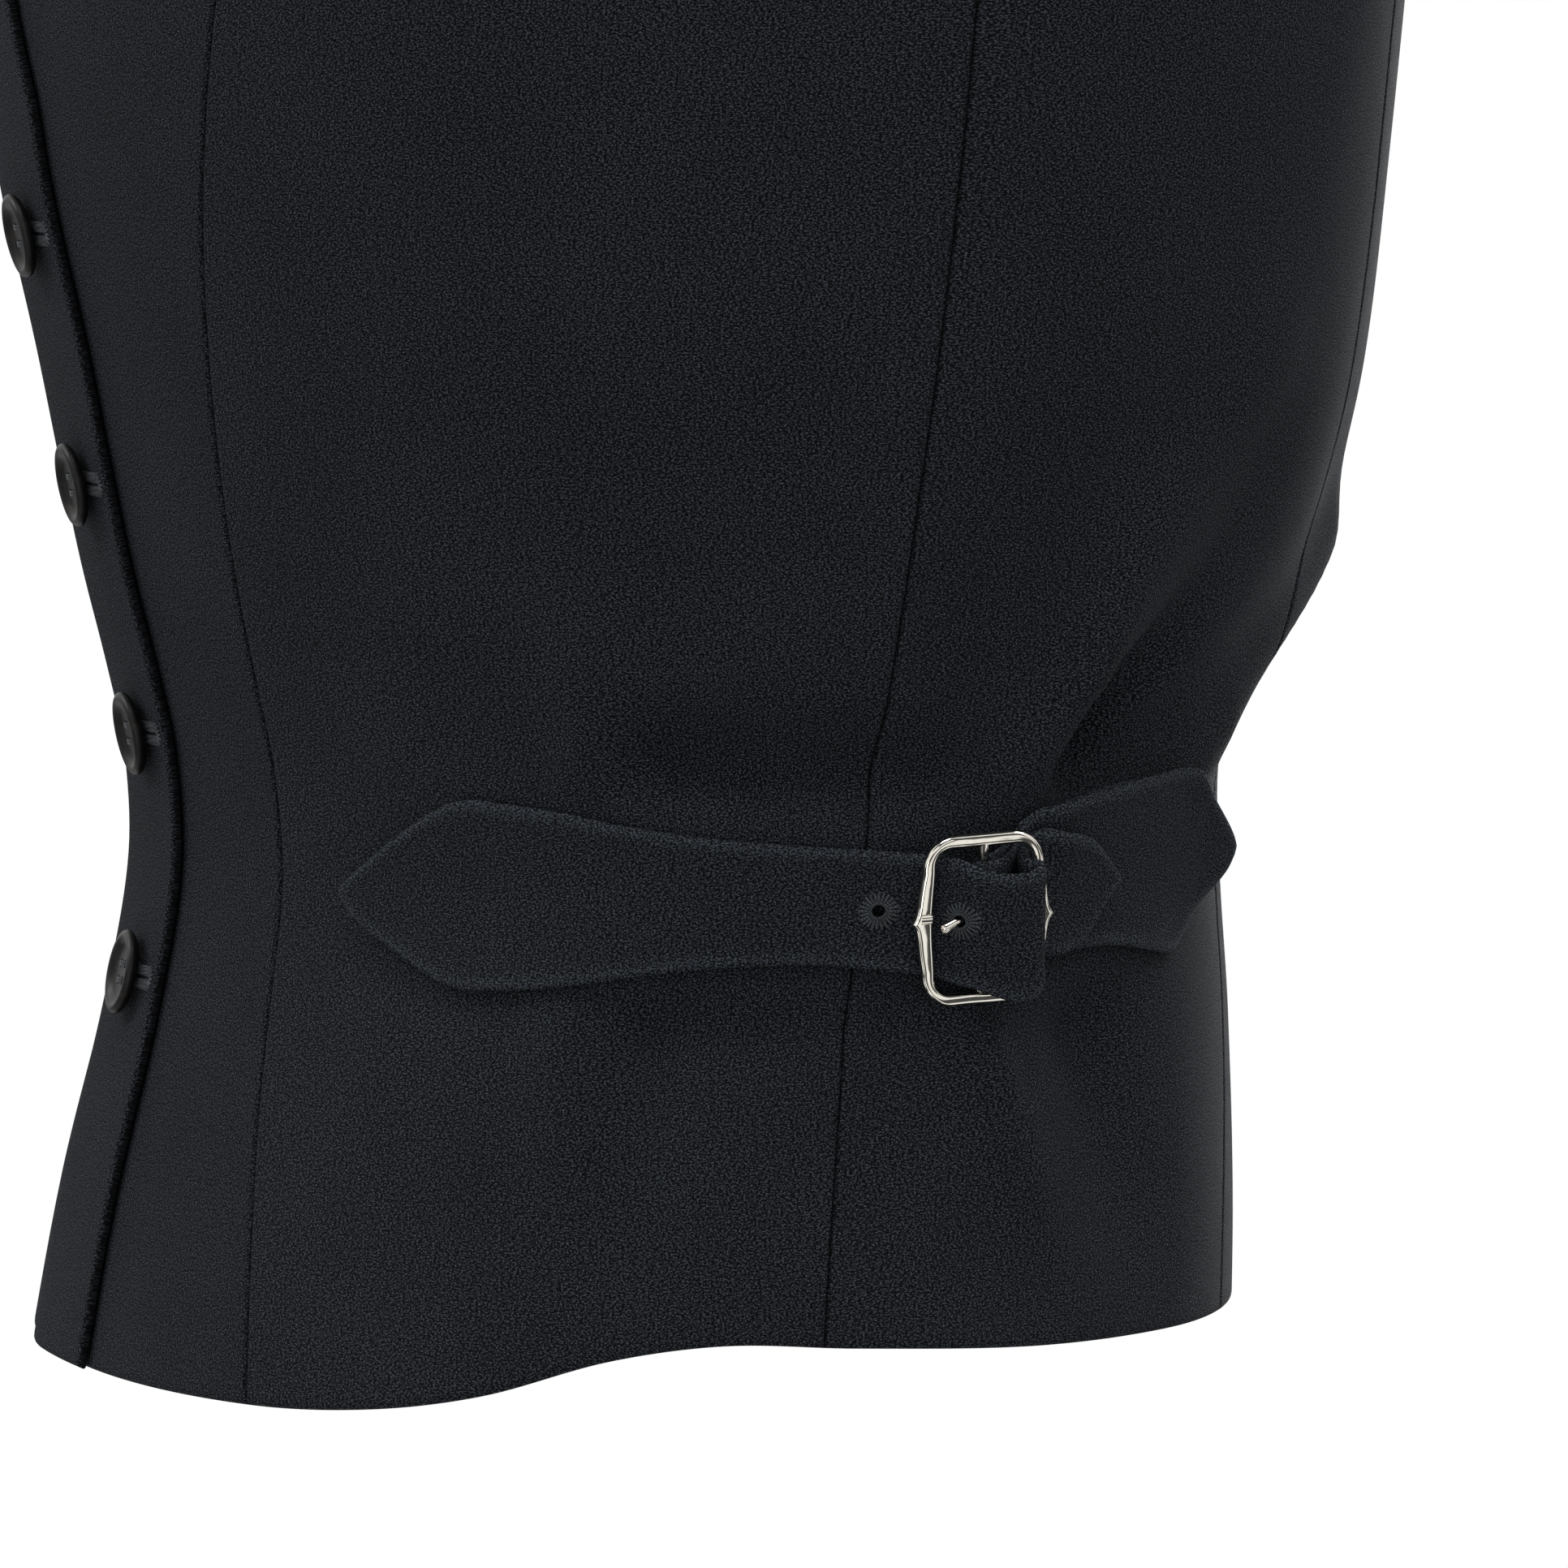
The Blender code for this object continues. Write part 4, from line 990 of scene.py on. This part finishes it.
def sewn(name, feet, lies, outs, radius, arch, thread):
    """One piece of worked stitches: each from a foot along its lie, arched out."""
    mesh = bpy.data.meshes.new(f"{name}_feet")
    mesh.from_pydata(np.asarray(feet).tolist(), [], [])
    for key, vectors in (("lie", lies), ("out", outs)):
        layer = mesh.attributes.new(key, "FLOAT_VECTOR", "POINT")
        layer.data.foreach_set("vector", np.asarray(vectors, np.float32).ravel())
    holder = linked(f"{name}_holder", mesh)
    tree = stitch_tree()
    modifier = holder.modifiers.new("Stitches", "NODES")
    modifier.node_group = tree
    sockets = {item.name: item.identifier for item in tree.interface.items_tree if item.in_out == "INPUT"}
    modifier[sockets["Thread Radius"]] = radius * MM
    modifier[sockets["Arch"]] = arch * MM
    modifier[sockets["Material"]] = thread
    result = taken_from(holder)
    result.shade_smooth()
    return placed(name, result, thread)


def on_surface(surface, starts, ends, lift=0.1):
    """Feet, lies and outs of stitches between places on a surface given by a function of (u, v, lift)."""
    foot = surface(starts[:, 0], starts[:, 1], lift)
    end = surface(ends[:, 0], ends[:, 1], lift)
    over = surface((starts[:, 0] + ends[:, 0]) / 2, (starts[:, 1] + ends[:, 1]) / 2, lift + 1)
    return foot, end - foot, unit(over - (foot + end) / 2)


def ring_places(middle, radius, count):
    """Places evenly round a middle."""
    turns = np.linspace(0, 2 * math.pi, count, endpoint=False)
    return stack(middle[0] + radius * np.cos(turns), middle[1] + radius * np.sin(turns))


# ---------------------------------------------------------------- settings


def at_least(least, name, description, default):
    """A number that isn't under the least one."""
    return bpy.props.FloatProperty(name=name, description=description, default=default, min=least)


def part_of_one(name, description, default):
    """A share from 0 to 1."""
    return bpy.props.FloatProperty(
        name=name, description=description, default=default, min=0.0, max=1.0, subtype="FACTOR"
    )


def hex_setting(name, description, default):
    """An sRGB hex colour."""
    return bpy.props.StringProperty(name=name, description=description, default=default)


def turned_by(name, description, degrees):
    """An angle, given in degrees."""
    return bpy.props.FloatProperty(
        name=name, description=description, default=math.radians(degrees), subtype="ANGLE"
    )


class JacketClothSettings(bpy.types.PropertyGroup):
    yarn_spacing: at_least(0.1, "Yarn Spacing", "Distance between the crepe's level yarn rows, in mm", 0.37)
    mottle_size: at_least(1.0, "Mottle Size", "Size of the cloth's broad uneven patches, in mm", 34.0)
    grain_strength: part_of_one("Grain Strength", "How deep the crepe's pebbles look", 0.8)
    cloth_shine: part_of_one("Shine", "Specular level of the yarn", 0.08)
    cloth_sheen: part_of_one("Sheen", "Bloom of the fine surface fibres at grazing angles", 0.015)
    cloth_dark: hex_setting("Hollow Colour", "Crepe between pebbles", "#090b0d")
    cloth_mid: hex_setting("Cloth Colour", "Crepe overall", "#1e2024")
    cloth_light: hex_setting("Pebble Colour", "Crepe on its pebbles", "#484d55")
    # Painted highlight: the colour and strength of the paler band along the straps' edges
    painted_highlight_colour: hex_setting("Edge Highlight Colour", "Painted highlight along the straps' edges", "#666e77")
    painted_highlight_share: part_of_one("Edge Highlights", "How pale the painted highlight along the straps' edges is", 0.3)
    thread_colour: hex_setting("Thread Colour", "Buttonhole twist", "#41474d")
    metal_colour: hex_setting("Metal Colour", "Nickel plate", "#f0ece2")
    metal_roughness: part_of_one("Metal Roughness", "How blurred the buckle mirrors", 0.07)
    horn_colour: hex_setting("Horn Colour", "Button horn", "#161412")


class JacketStitchSettings(bpy.types.PropertyGroup):
    eyelet_radius: at_least(0.5, "Eyelet Radius", "Radius of a worked eyelet's hole, in mm", 1.3)
    eyelet_width: at_least(0.5, "Eyelet Width", "Length of an eyelet's radial stitches, in mm", 1.9)
    eyelet_count: bpy.props.IntProperty(
        name="Eyelet Stitches", description="Radial stitches round an eyelet", default=24, min=8
    )
    thread_radius: at_least(0.05, "Thread Radius", "Radius of the buttonhole twist, in mm", 0.25)


class JacketStageSettings(bpy.types.PropertyGroup):
    azimuth: turned_by("Azimuth", "Where the camera stands, from the front towards the left side", 73.5)
    pitch: turned_by("Pitch", "How far the camera looks down", 3.888)
    lens: at_least(10.0, "Lens", "Focal length, in mm", 274.0)
    fill: at_least(0.0, "Fill", "Strength of the light from all round", 0.54)
    floor_drop: at_least(0.0, "Floor Drop", "Height of the shoulders over the floor, in metres", 1.42)


# ---------------------------------------------------------------- operators


class JACKET_OT_panels(bpy.types.Operator):
    """Makes the eight cloth panels"""

    bl_idname = "jacket.panels"
    bl_label = "Cloth Panels"

    def execute(self, context):
        crepe = material("wool_crepe", context.scene.jacket_cloth)
        edge, seam = edge_rows(front_edge), edge_rows(front_seam)
        back, middle = edge_rows(back_seam), edge_rows(middle_back)
        panels = {
            "front": (edge, seam),
            "side_front": (seam, edge_rows(armhole=1)),
            "side_back": (edge_rows(armhole=2), back),
            "back": (middle, back),
        }
        for side, word in SIDES:
            for part, (first, last) in panels.items():
                on_top = part == "front" and side < 0
                grids = panel_grid(first, last, side, lapped=on_top, nape=part == "back")
                node_name = f"{part}_{word}"
                piece = shell(f"cloth_{node_name}", *grids, crepe)
                rides(piece, "crepe", node_name)
                outer, _, places, _ = grids
                width = float(np.ptp(places[..., 0])) * MM
                length = float(np.ptp(places[..., 1])) * MM
                area = area_of(outer)
        return {"FINISHED"}


def strap_ribbons(side):
    """The long strap, and the short one: its upper layer, the loop and its return, as one run."""
    loop = []
    for turn in np.radians(np.linspace(LOOP_FROM, LOOP_TO, LOOP_STATIONS)):
        distance = MID_BAR + LOOP_RADIUS * math.cos(turn)
        out = MID_OUT + LOOP_RADIUS * math.sin(turn)
        loop.append((distance, out, LOOP_TOP, LOOP_BOTTOM, LOOP_TILT))
    short = (*SHORT_STRAP, *loop, *SHORT_RETURN)
    return Ribbon(LONG_STRAP, STRAP_THICK, side), Ribbon(short, LOOP_THICK, side)


EYELETS = (("free", -1.6, -0.3), ("prong", 10.4, -1.5))  # name, distance and level
EYELET_INSET = 0.05  # its stitches start so far inside its hole
EYELET_UNEVEN = 0.12
EYELET_ARCH = 0.35
PURL_LIFT = 0.28
SLOT_LONG, SLOT_HIGH = 6.4, 2.7  # the opening in the loop for the prong


class JACKET_OT_straps(bpy.types.Operator):
    """Makes both side adjusters' straps with their worked eyelets"""

    bl_idname = "jacket.straps"
    bl_label = "Straps"

    def execute(self, context):
        crepe = material("wool_crepe", context.scene.jacket_cloth)
        for side, word in SIDES:
            long, short = strap_ribbons(side)
            piece, size = strap_shell(f"cloth_long_strap_{word}", long, crepe)
            for which, distance, level in EYELETS:
                place = (long.run_at(distance), level)
                self.work_eyelet(context, piece, long, place, f"eyelet_{word}_{which}")
            smooth_by_angle(piece.data)
            rides(piece, "crepe", f"long_strap_{word}")
            piece, size = strap_shell(f"cloth_short_strap_{word}", short, crepe)
            self.cut_slot(piece, side)
            smooth_by_angle(piece.data)
            rides(piece, "crepe", f"short_strap_{word}")
        return {"FINISHED"}

    def work_eyelet(self, context, piece, ribbon, place, name):
        """Cuts an eyelet and sews round it: radial stitches, and a purl edge on the hole."""
        props = context.scene.jacket_stitches
        thread = material("buttonhole_twist", context.scene.jacket_cloth)

        def surface(u, v, lift):
            return ribbon.points(u, v, 1 + 2 * lift / ribbon.thick)

        middle, above = (Vector(surface(*np.array(place), lift).tolist()) for lift in (0.0, 1.0))
        turned = (above - middle).to_track_quat("Z", "Y").to_matrix().to_4x4()
        cut_by(piece, tube(props.eyelet_radius, 5.0, 24), Matrix.Translation(middle) @ turned)
        count = props.eyelet_count
        inner = ring_places(place, props.eyelet_radius - EYELET_INSET, count)
        outer = ring_places(place, props.eyelet_radius + props.eyelet_width, count)
        outer += (np.sin(np.arange(count) * 2.3) * EYELET_UNEVEN)[:, None] * unit(outer - np.array(place))
        radial = on_surface(surface, inner, outer)
        rim = ring_places(place, props.eyelet_radius, count)
        purls = on_surface(surface, rim, np.roll(rim, -1, axis=0), lift=PURL_LIFT)
        feet, lies, outs = (np.concatenate(pair) for pair in zip(radial, purls))
        rides(sewn(name, feet, lies, outs, props.thread_radius, EYELET_ARCH, thread), "crepe")

    def cut_slot(self, piece, side):
        """Opens the loop for the prong."""
        shape = bmesh.new()
        sizes = (SLOT_LONG * MM, SLOT_HIGH * MM, SLOT_LONG * MM, 1)
        bmesh.ops.create_cube(shape, matrix=Matrix.Diagonal(sizes))
        level = Matrix.Translation((0, PRONG_LEVEL * MM, 0))
        cut_by(piece, mesh_from(shape, "slot"), metres(PLACES[side]) @ level)


BOW = ((0.0, 1.75), (0.6, 1.4), (1.4, 1.1), (3.0, 0.82), (4.5, 0.66), (6.0, 0.45), (7.4, 0.2), (8.5, 0.0))
HOLE_BOW = ((0.0, 0.5), (2.3, 0.44), (4.5, 0.3), (6.5, 0.13), (8.5, 0.0))
FRAME_EDGE = 0.85  # the radius of its rounded edges
OUTER_CORNER, HOLE_CORNER = 5.0, 3.6
CORNER_STEPS = 14
GROOVE_RADIUS, GROOVE_LONG, GROOVE_OUT = 0.95, 3.0, 1.35  # the seat of the prong's end in the frame
GROOVE_PAST = 0.1
PRONG_RADIUS = 0.65
PRONG_RING = 1.9  # round the middle bar
PRONG_RING_FROM, PRONG_RING_TO = -190, 90
PRONG_LEVEL = 0.9
PRONG_END = -8.3
# Past the hook: the share of the way to the prong's end, its drop, its thickness, and how it lowers
PRONG_PATH = (
    (0.12, 0.02, 1.0, 0.0),
    (0.35, 0.1, 1.02, 0.02),
    (0.55, 0.42, 1.08, 0.05),
    (0.7, 0.8, 1.18, 0.08),
    (0.85, 1.4, 1.35, 0.1),
    (0.93, 1.7, 1.4, 0.12),
    (0.97, 1.78, 1.2, 0.14),
    (0.995, 1.84, 0.75, 0.15),
    (1.0, 1.85, 0.35, 0.15),
)


def outline(half_x, half_y, corner, bow):
    """A rectangle with round corners whose upright sides bow out."""
    quarter = [(half_x + out, height) for height, out in bow]
    for turn in np.radians(np.linspace(0, 90, CORNER_STEPS + 1)):
        quarter.append((half_x - corner + corner * math.cos(turn), half_y - corner + corner * math.sin(turn)))
    right = [(x, -y) for x, y in quarter[:0:-1]] + quarter
    return right + [(-x, -y) for x, y in right]


def add_spline(curve, points, closed, radii=None):
    made = curve.splines.new("POLY")
    made.points.add(len(points) - 1)
    for knot, point, radius in zip(made.points, points, radii or [1.0] * len(points)):
        knot.co = (*(value * MM for value in point), 1.0)
        knot.radius = radius
    made.use_cyclic_u = closed


def curve_mesh(curve, matrix):
    """The curve's mesh, welded, facing out and in place."""
    mesh = taken_from(linked("holder", curve))
    shape = bmesh.new()
    shape.from_mesh(mesh)
    bmesh.ops.remove_doubles(shape, verts=shape.verts, dist=1e-6)
    bmesh.ops.recalc_face_normals(shape, faces=shape.faces)
    shape.to_mesh(mesh)
    shape.free()
    mesh.transform(matrix)
    return mesh


class JACKET_OT_buckles(bpy.types.Operator):
    """Makes both prong buckles"""

    bl_idname = "jacket.buckles"
    bl_label = "Buckles"

    def execute(self, context):
        nickel = material("polished_nickel", context.scene.jacket_cloth)
        for side, word in SIDES:
            place = metres(PLACES[side])
            frame_piece = placed(f"metal_frame_{word}", self.frame_mesh(place), nickel)
            upright = Matrix.Rotation(math.radians(90), 4, "X")
            bar = tube(MID_RADIUS, BUCKLE_HEIGHT - BAR_WIDTH, 32, upright)
            cut_by(frame_piece, bar, place, "UNION")
            level = Matrix.Rotation(math.radians(90), 4, "Y")
            groove = tube(GROOVE_RADIUS, GROOVE_LONG, 24, level)
            front_bar = -side * (RIGHT_BAR - MID_BAR + GROOVE_PAST)
            at = Matrix.Translation(Vector((front_bar, PRONG_LEVEL, GROOVE_OUT)) * MM)
            cut_by(frame_piece, groove, place @ at)
            smooth_by_angle(frame_piece.data, 30)
            rides(frame_piece, "buckle_metal", f"buckle_frame_{word}")
            prong = placed(f"metal_prong_{word}", self.prong_mesh(place, side), nickel)
            prong.data.shade_smooth()
            rides(prong, "buckle_metal", f"buckle_prong_{word}")
        return {"FINISHED"}

    def frame_mesh(self, place):
        curve = bpy.data.curves.new("frame", "CURVE")
        curve.dimensions = "2D"
        curve.fill_mode = "BOTH"
        curve.extrude = (BAR_THICK / 2 - FRAME_EDGE) * MM
        curve.bevel_depth = FRAME_EDGE * MM
        curve.bevel_resolution = 5
        half_x = (RIGHT_BAR - LEFT_BAR + BAR_WIDTH) / 2
        half_y = BUCKLE_HEIGHT / 2
        inset = BAR_WIDTH - FRAME_EDGE
        outer = outline(half_x - FRAME_EDGE, half_y - FRAME_EDGE, OUTER_CORNER, BOW)
        inner = outline(half_x - inset, half_y - inset, HOLE_CORNER, HOLE_BOW)
        add_spline(curve, [(x, y, 0) for x, y in outer], True)
        add_spline(curve, [(x, y, 0) for x, y in inner], True)
        return curve_mesh(curve, place)

    def prong_mesh(self, place, side):
        curve = bpy.data.curves.new("prong", "CURVE")
        curve.dimensions = "3D"
        curve.bevel_depth = PRONG_RADIUS * MM
        curve.bevel_resolution = 6
        curve.use_fill_caps = True
        turns = np.radians(np.linspace(PRONG_RING_FROM, PRONG_RING_TO, 24))
        points = [(PRONG_RING * math.cos(t), PRONG_LEVEL, PRONG_RING * math.sin(t)) for t in turns]
        radii = [1.0] * len(turns)
        for share, drop, thick, lower in PRONG_PATH:
            points.append((PRONG_END * share, PRONG_LEVEL - drop, PRONG_RING - lower))
            radii.append(thick)
        add_spline(curve, [(x * side, y, z) for x, y, z in points], False, radii)
        return curve_mesh(curve, place)


BUTTON_LEVELS = (112, 68, 24, -20)
BUTTON_LIFT = 0.8
# From the middle of its face, over its rim, to the middle of its back: radius and height
BUTTON_PROFILE = (
    (0.0, 1.45), (3.4, 1.45), (4.4, 1.5), (5.0, 1.72), (5.5, 2.15), (6.0, 2.42), (6.5, 2.5), (6.95, 2.4),
    (7.3, 2.15), (7.48, 1.8), (7.5, 1.4), (7.3, 0.9), (6.6, 0.4), (5.4, 0.08), (4.6, 0.0), (0.0, 0.0),
)
HOLE_OFF = 1.5  # a button's four holes, from its middle lines
HOLE_RADIUS = 0.8
STRANDS = (-0.34, 0.0, 0.34)  # of thread between two holes
STRAND_REACH = 1.75
STRAND_RADIUS, STRAND_ARCH = 0.2, 0.9
STRAND_LEVEL = 1.3
HOLE_FROM, HOLE_TO = -6.0, 10.6  # a buttonhole, from the button's middle towards the front edge
HOLE_STITCH = 0.62  # from one stitch to the next
HOLE_HALF, HOLE_STITCH_END = 0.3, 2.1  # how far up and down its stitches start and end
HOLE_END_NEAR, HOLE_END_FAR = 0.4, 2.2  # the same round its end
HOLE_LIFT, HOLE_ARCH = 0.06, 0.25


class JACKET_OT_buttons(bpy.types.Operator):
    """Makes the four buttons with their threads and worked buttonholes"""

    bl_idname = "jacket.buttons"
    bl_label = "Buttons"

    def execute(self, context):
        cloth_props = context.scene.jacket_cloth
        props = context.scene.jacket_stitches
        horn = material("buffed_horn", cloth_props)
        thread = material("buttonhole_twist", cloth_props)
        for number, level in enumerate(BUTTON_LEVELS, 1):
            middle = (np.array(float(level)), angle_at(level, 0.0, back=False))
            here = cloth(*middle, -1, lap(*middle) + BUTTON_LIFT)
            out = Vector((outward(*middle) * (-1, 1, 1)).tolist())
            sideways = Vector((1, 0, 0))
            axes = Matrix((sideways, out.cross(sideways), out)).transposed().to_4x4()
            place = Matrix.Translation(Vector(here.tolist())) @ axes
            button = placed(f"horn_button_{number}", self.turned_mesh(place), horn)
            for x in (-HOLE_OFF, HOLE_OFF):
                for y in (-HOLE_OFF, HOLE_OFF):
                    hole = Matrix.Translation((x * MM, y * MM, 0))
                    cut_by(button, tube(HOLE_RADIUS, 6, 16), place @ hole)
            smooth_by_angle(button.data, 35)
            rides(button, "button_horn", f"button_{number}")

            def face(u, v, lift):
                local = stack(u, v, STRAND_LEVEL + lift) * MM
                turned = np.array(place)
                return local @ turned[:3, :3].T + turned[:3, 3]

            rows = [y + strand for y in (-HOLE_OFF, HOLE_OFF) for strand in STRANDS]
            feet, lies, outs = on_surface(face, stack(-STRAND_REACH, rows), stack(STRAND_REACH, rows))
            strands = (feet, lies, outs, STRAND_RADIUS, STRAND_ARCH, thread)
            rides(sewn(f"thread_button_{number}", *strands), "button_horn")
            self.buttonhole(number, level, props, thread)
        return {"FINISHED"}

    def turned_mesh(self, place):
        mesh = bpy.data.meshes.new("button")
        edges = [(i, i + 1) for i in range(len(BUTTON_PROFILE) - 1)]
        mesh.from_pydata([(x * MM, 0, z * MM) for x, z in BUTTON_PROFILE], edges, [])
        holder = linked("holder", mesh)
        screw = holder.modifiers.new("Turn", "SCREW")
        screw.steps = screw.render_steps = 64
        screw.use_merge_vertices = True
        screw.merge_threshold = 1e-6
        made = taken_from(holder)
        made.transform(place)
        return made

    def buttonhole(self, number, level, props, thread):
        """A row of stitches round a slot that runs from the button towards the front edge."""

        def surface(u, v, lift):
            """u runs from the middle towards the edge of the upper front, v up."""
            angles = angle_at(v, -u, back=False)
            return cloth(v, angles, -1, lap(v, angles) + lift)

        turns = np.radians(np.arange(-75, 76, 25))

        def places(up, past):
            """Where stitches start or end: under the slot, over it and round its end."""
            slot = np.arange(HOLE_FROM, HOLE_TO, HOLE_STITCH)
            end = stack(HOLE_TO + past * np.cos(turns), level + past * np.sin(turns))
            return np.concatenate([stack(slot, level - up), stack(slot, level + up), end])

        starts, ends = places(HOLE_HALF, HOLE_END_NEAR), places(HOLE_STITCH_END, HOLE_END_FAR)
        feet, lies, outs = on_surface(surface, starts, ends, lift=HOLE_LIFT)
        stitches = (feet, lies, outs, props.thread_radius, HOLE_ARCH, thread)
        rides(sewn(f"buttonhole_{number}", *stitches), "crepe")


WAIST_MIDDLE = Vector((0.0, -STANCE, -WAIST_DROP)) * MM
CAMERA_BACK = 2.13  # from the waist's middle
CAMERA_ASIDE = 0.0215
CAMERA_UP = 0.157
FLOOR_RADIUS = 3.6
SOFT_BOX_WIDE = 1.0
SOFT_BOXES = (
    # name, towards the camera, to the right, up, power
    ("front", 2.78, -1.01, -0.52, 10.0),
    ("top", 1.0, 0.0, 2.8, 30.0),
    ("rim", -0.45, 1.66, 2.46, 24.0),
    ("side", -0.6, -2.25, 1.85, 26.0),
    ("behind", -2.75, 1.0, 0.4, 55.0),
)


class JACKET_OT_stage(bpy.types.Operator):
    """Makes the floor, the lights and the camera"""

    bl_idname = "jacket.stage"
    bl_label = "Stage"

    def execute(self, context):
        props = context.scene.jacket_stage
        self.floor(props)
        self.surround(context, props)
        back = Vector((math.sin(props.azimuth), -math.cos(props.azimuth), 0))
        right = Vector((math.cos(props.azimuth), math.sin(props.azimuth), 0))
        for name, near, aside, up, power in SOFT_BOXES:
            light = bpy.data.lights.new(f"soft_box_{name}", "AREA")
            light.size = SOFT_BOX_WIDE
            light.energy = power
            box = linked(light.name, light)
            box.location = WAIST_MIDDLE + back * near + right * aside + Vector((0, 0, up))
            box.rotation_euler = (box.location - WAIST_MIDDLE).to_track_quat("Z", "Y").to_euler()
            box.visible_camera = False
        camera = bpy.data.cameras.new("camera")
        camera.sensor_width = 36.0
        camera.lens = props.lens
        camera.clip_start, camera.clip_end = 0.1, 100.0
        holder = linked("camera", camera)
        holder.location = WAIST_MIDDLE + back * CAMERA_BACK + right * CAMERA_ASIDE + Vector((0, 0, CAMERA_UP))
        forward = -back * math.cos(props.pitch) - Vector((0, 0, math.sin(props.pitch)))
        holder.rotation_euler = forward.to_track_quat("-Z", "Y").to_euler()
        context.scene.camera = holder
        context.scene.view_settings.view_transform = "Standard"
        return {"FINISHED"}

    def floor(self, props):
        """Matt paper: its fine tooth gives a soft, even white."""
        made, tree, shader = new_material("matt_paper_floor")
        tooth = noise(tree, on_piece(tree), 400.0)
        give(tree, shader, {
            "Base Color": ramp(tree, tooth, ((0.3, "#f3f2f0"), (0.7, "#f8f7f5"))),
            "Roughness": 0.95,
            "Specular IOR Level": 0.1,
        })
        shape = bmesh.new()
        low = Matrix.Translation((0, 0, -props.floor_drop))
        bmesh.ops.create_circle(shape, cap_ends=True, segments=96, radius=FLOOR_RADIUS, matrix=low)
        floor = placed("floor", mesh_from(shape, "floor"), made)
        # The jacket hangs in a light tent: the floor neither shows in its metal nor lights its cloth
        floor.visible_glossy = False
        floor.visible_diffuse = False

    def surround(self, context, props):
        """A white studio: the camera sees it white, and the jacket is filled by a softer share of it."""
        world = bpy.data.worlds.new("white_studio")
        world.use_nodes = True
        tree = world.node_tree
        background = tree.nodes["Background"]
        path = node(tree, "ShaderNodeLightPath").outputs
        # What polished metal mirrors: pale studio walls with dark gaps between them
        way = node(tree, "ShaderNodeTexCoord").outputs["Generated"]
        walls = noise(tree, way, 2.2, detail=0.0)
        inputs = {"Value": walls, "From Min": 0.45, "From Max": 0.53, "To Min": 0.07, "To Max": 1.0}
        mirrored = node(tree, "ShaderNodeMapRange", inputs, interpolation_type="SMOOTHSTEP").outputs["Result"]
        gloss = node(tree, "ShaderNodeMix", {0: path["Is Glossy Ray"], 2: props.fill, 3: mirrored}).outputs[0]
        strength = node(tree, "ShaderNodeMix", {0: path["Is Camera Ray"], 2: gloss, 3: 1.0}).outputs[0]
        background.inputs["Color"].default_value = (1.0, 1.0, 1.0, 1.0)
        tree.links.new(strength, background.inputs["Strength"])
        context.scene.world = world


class JACKET_PT_sidebar(bpy.types.Panel):
    """Lists the jacket's settings and pieces"""

    bl_idname = "JACKET_PT_sidebar"
    bl_label = "Sleeveless Jacket"
    bl_space_type = "VIEW_3D"
    bl_region_type = "UI"
    bl_category = "Jacket"

    def draw(self, context):
        layout = self.layout
        for group in ("jacket_cloth", "jacket_stitches", "jacket_stage"):
            settings = getattr(context.scene, group)
            box = layout.box()
            for key in settings.bl_rna.properties.keys():
                if key not in ("rna_type", "name"):
                    box.prop(settings, key)
        for operator in OPERATORS:
            layout.operator(operator.bl_idname)


GROUPS = {
    "jacket_cloth": JacketClothSettings,
    "jacket_stitches": JacketStitchSettings,
    "jacket_stage": JacketStageSettings,
}
OPERATORS = (JACKET_OT_panels, JACKET_OT_straps, JACKET_OT_buckles, JACKET_OT_buttons, JACKET_OT_stage)


def register():
    for kind in (*GROUPS.values(), *OPERATORS, JACKET_PT_sidebar):
        bpy.utils.register_class(kind)
    for name, kind in GROUPS.items():
        setattr(bpy.types.Scene, name, bpy.props.PointerProperty(type=kind))


def unregister():
    for name in GROUPS:
        delattr(bpy.types.Scene, name)
    for kind in (JACKET_PT_sidebar, *reversed(OPERATORS), *GROUPS.values()):
        bpy.utils.unregister_class(kind)


def main():
    register()
    bpy.ops.jacket.panels()
    bpy.ops.jacket.straps()
    bpy.ops.jacket.buckles()
    bpy.ops.jacket.buttons()
    bpy.ops.jacket.stage()


if __name__ == "__main__":
    main()
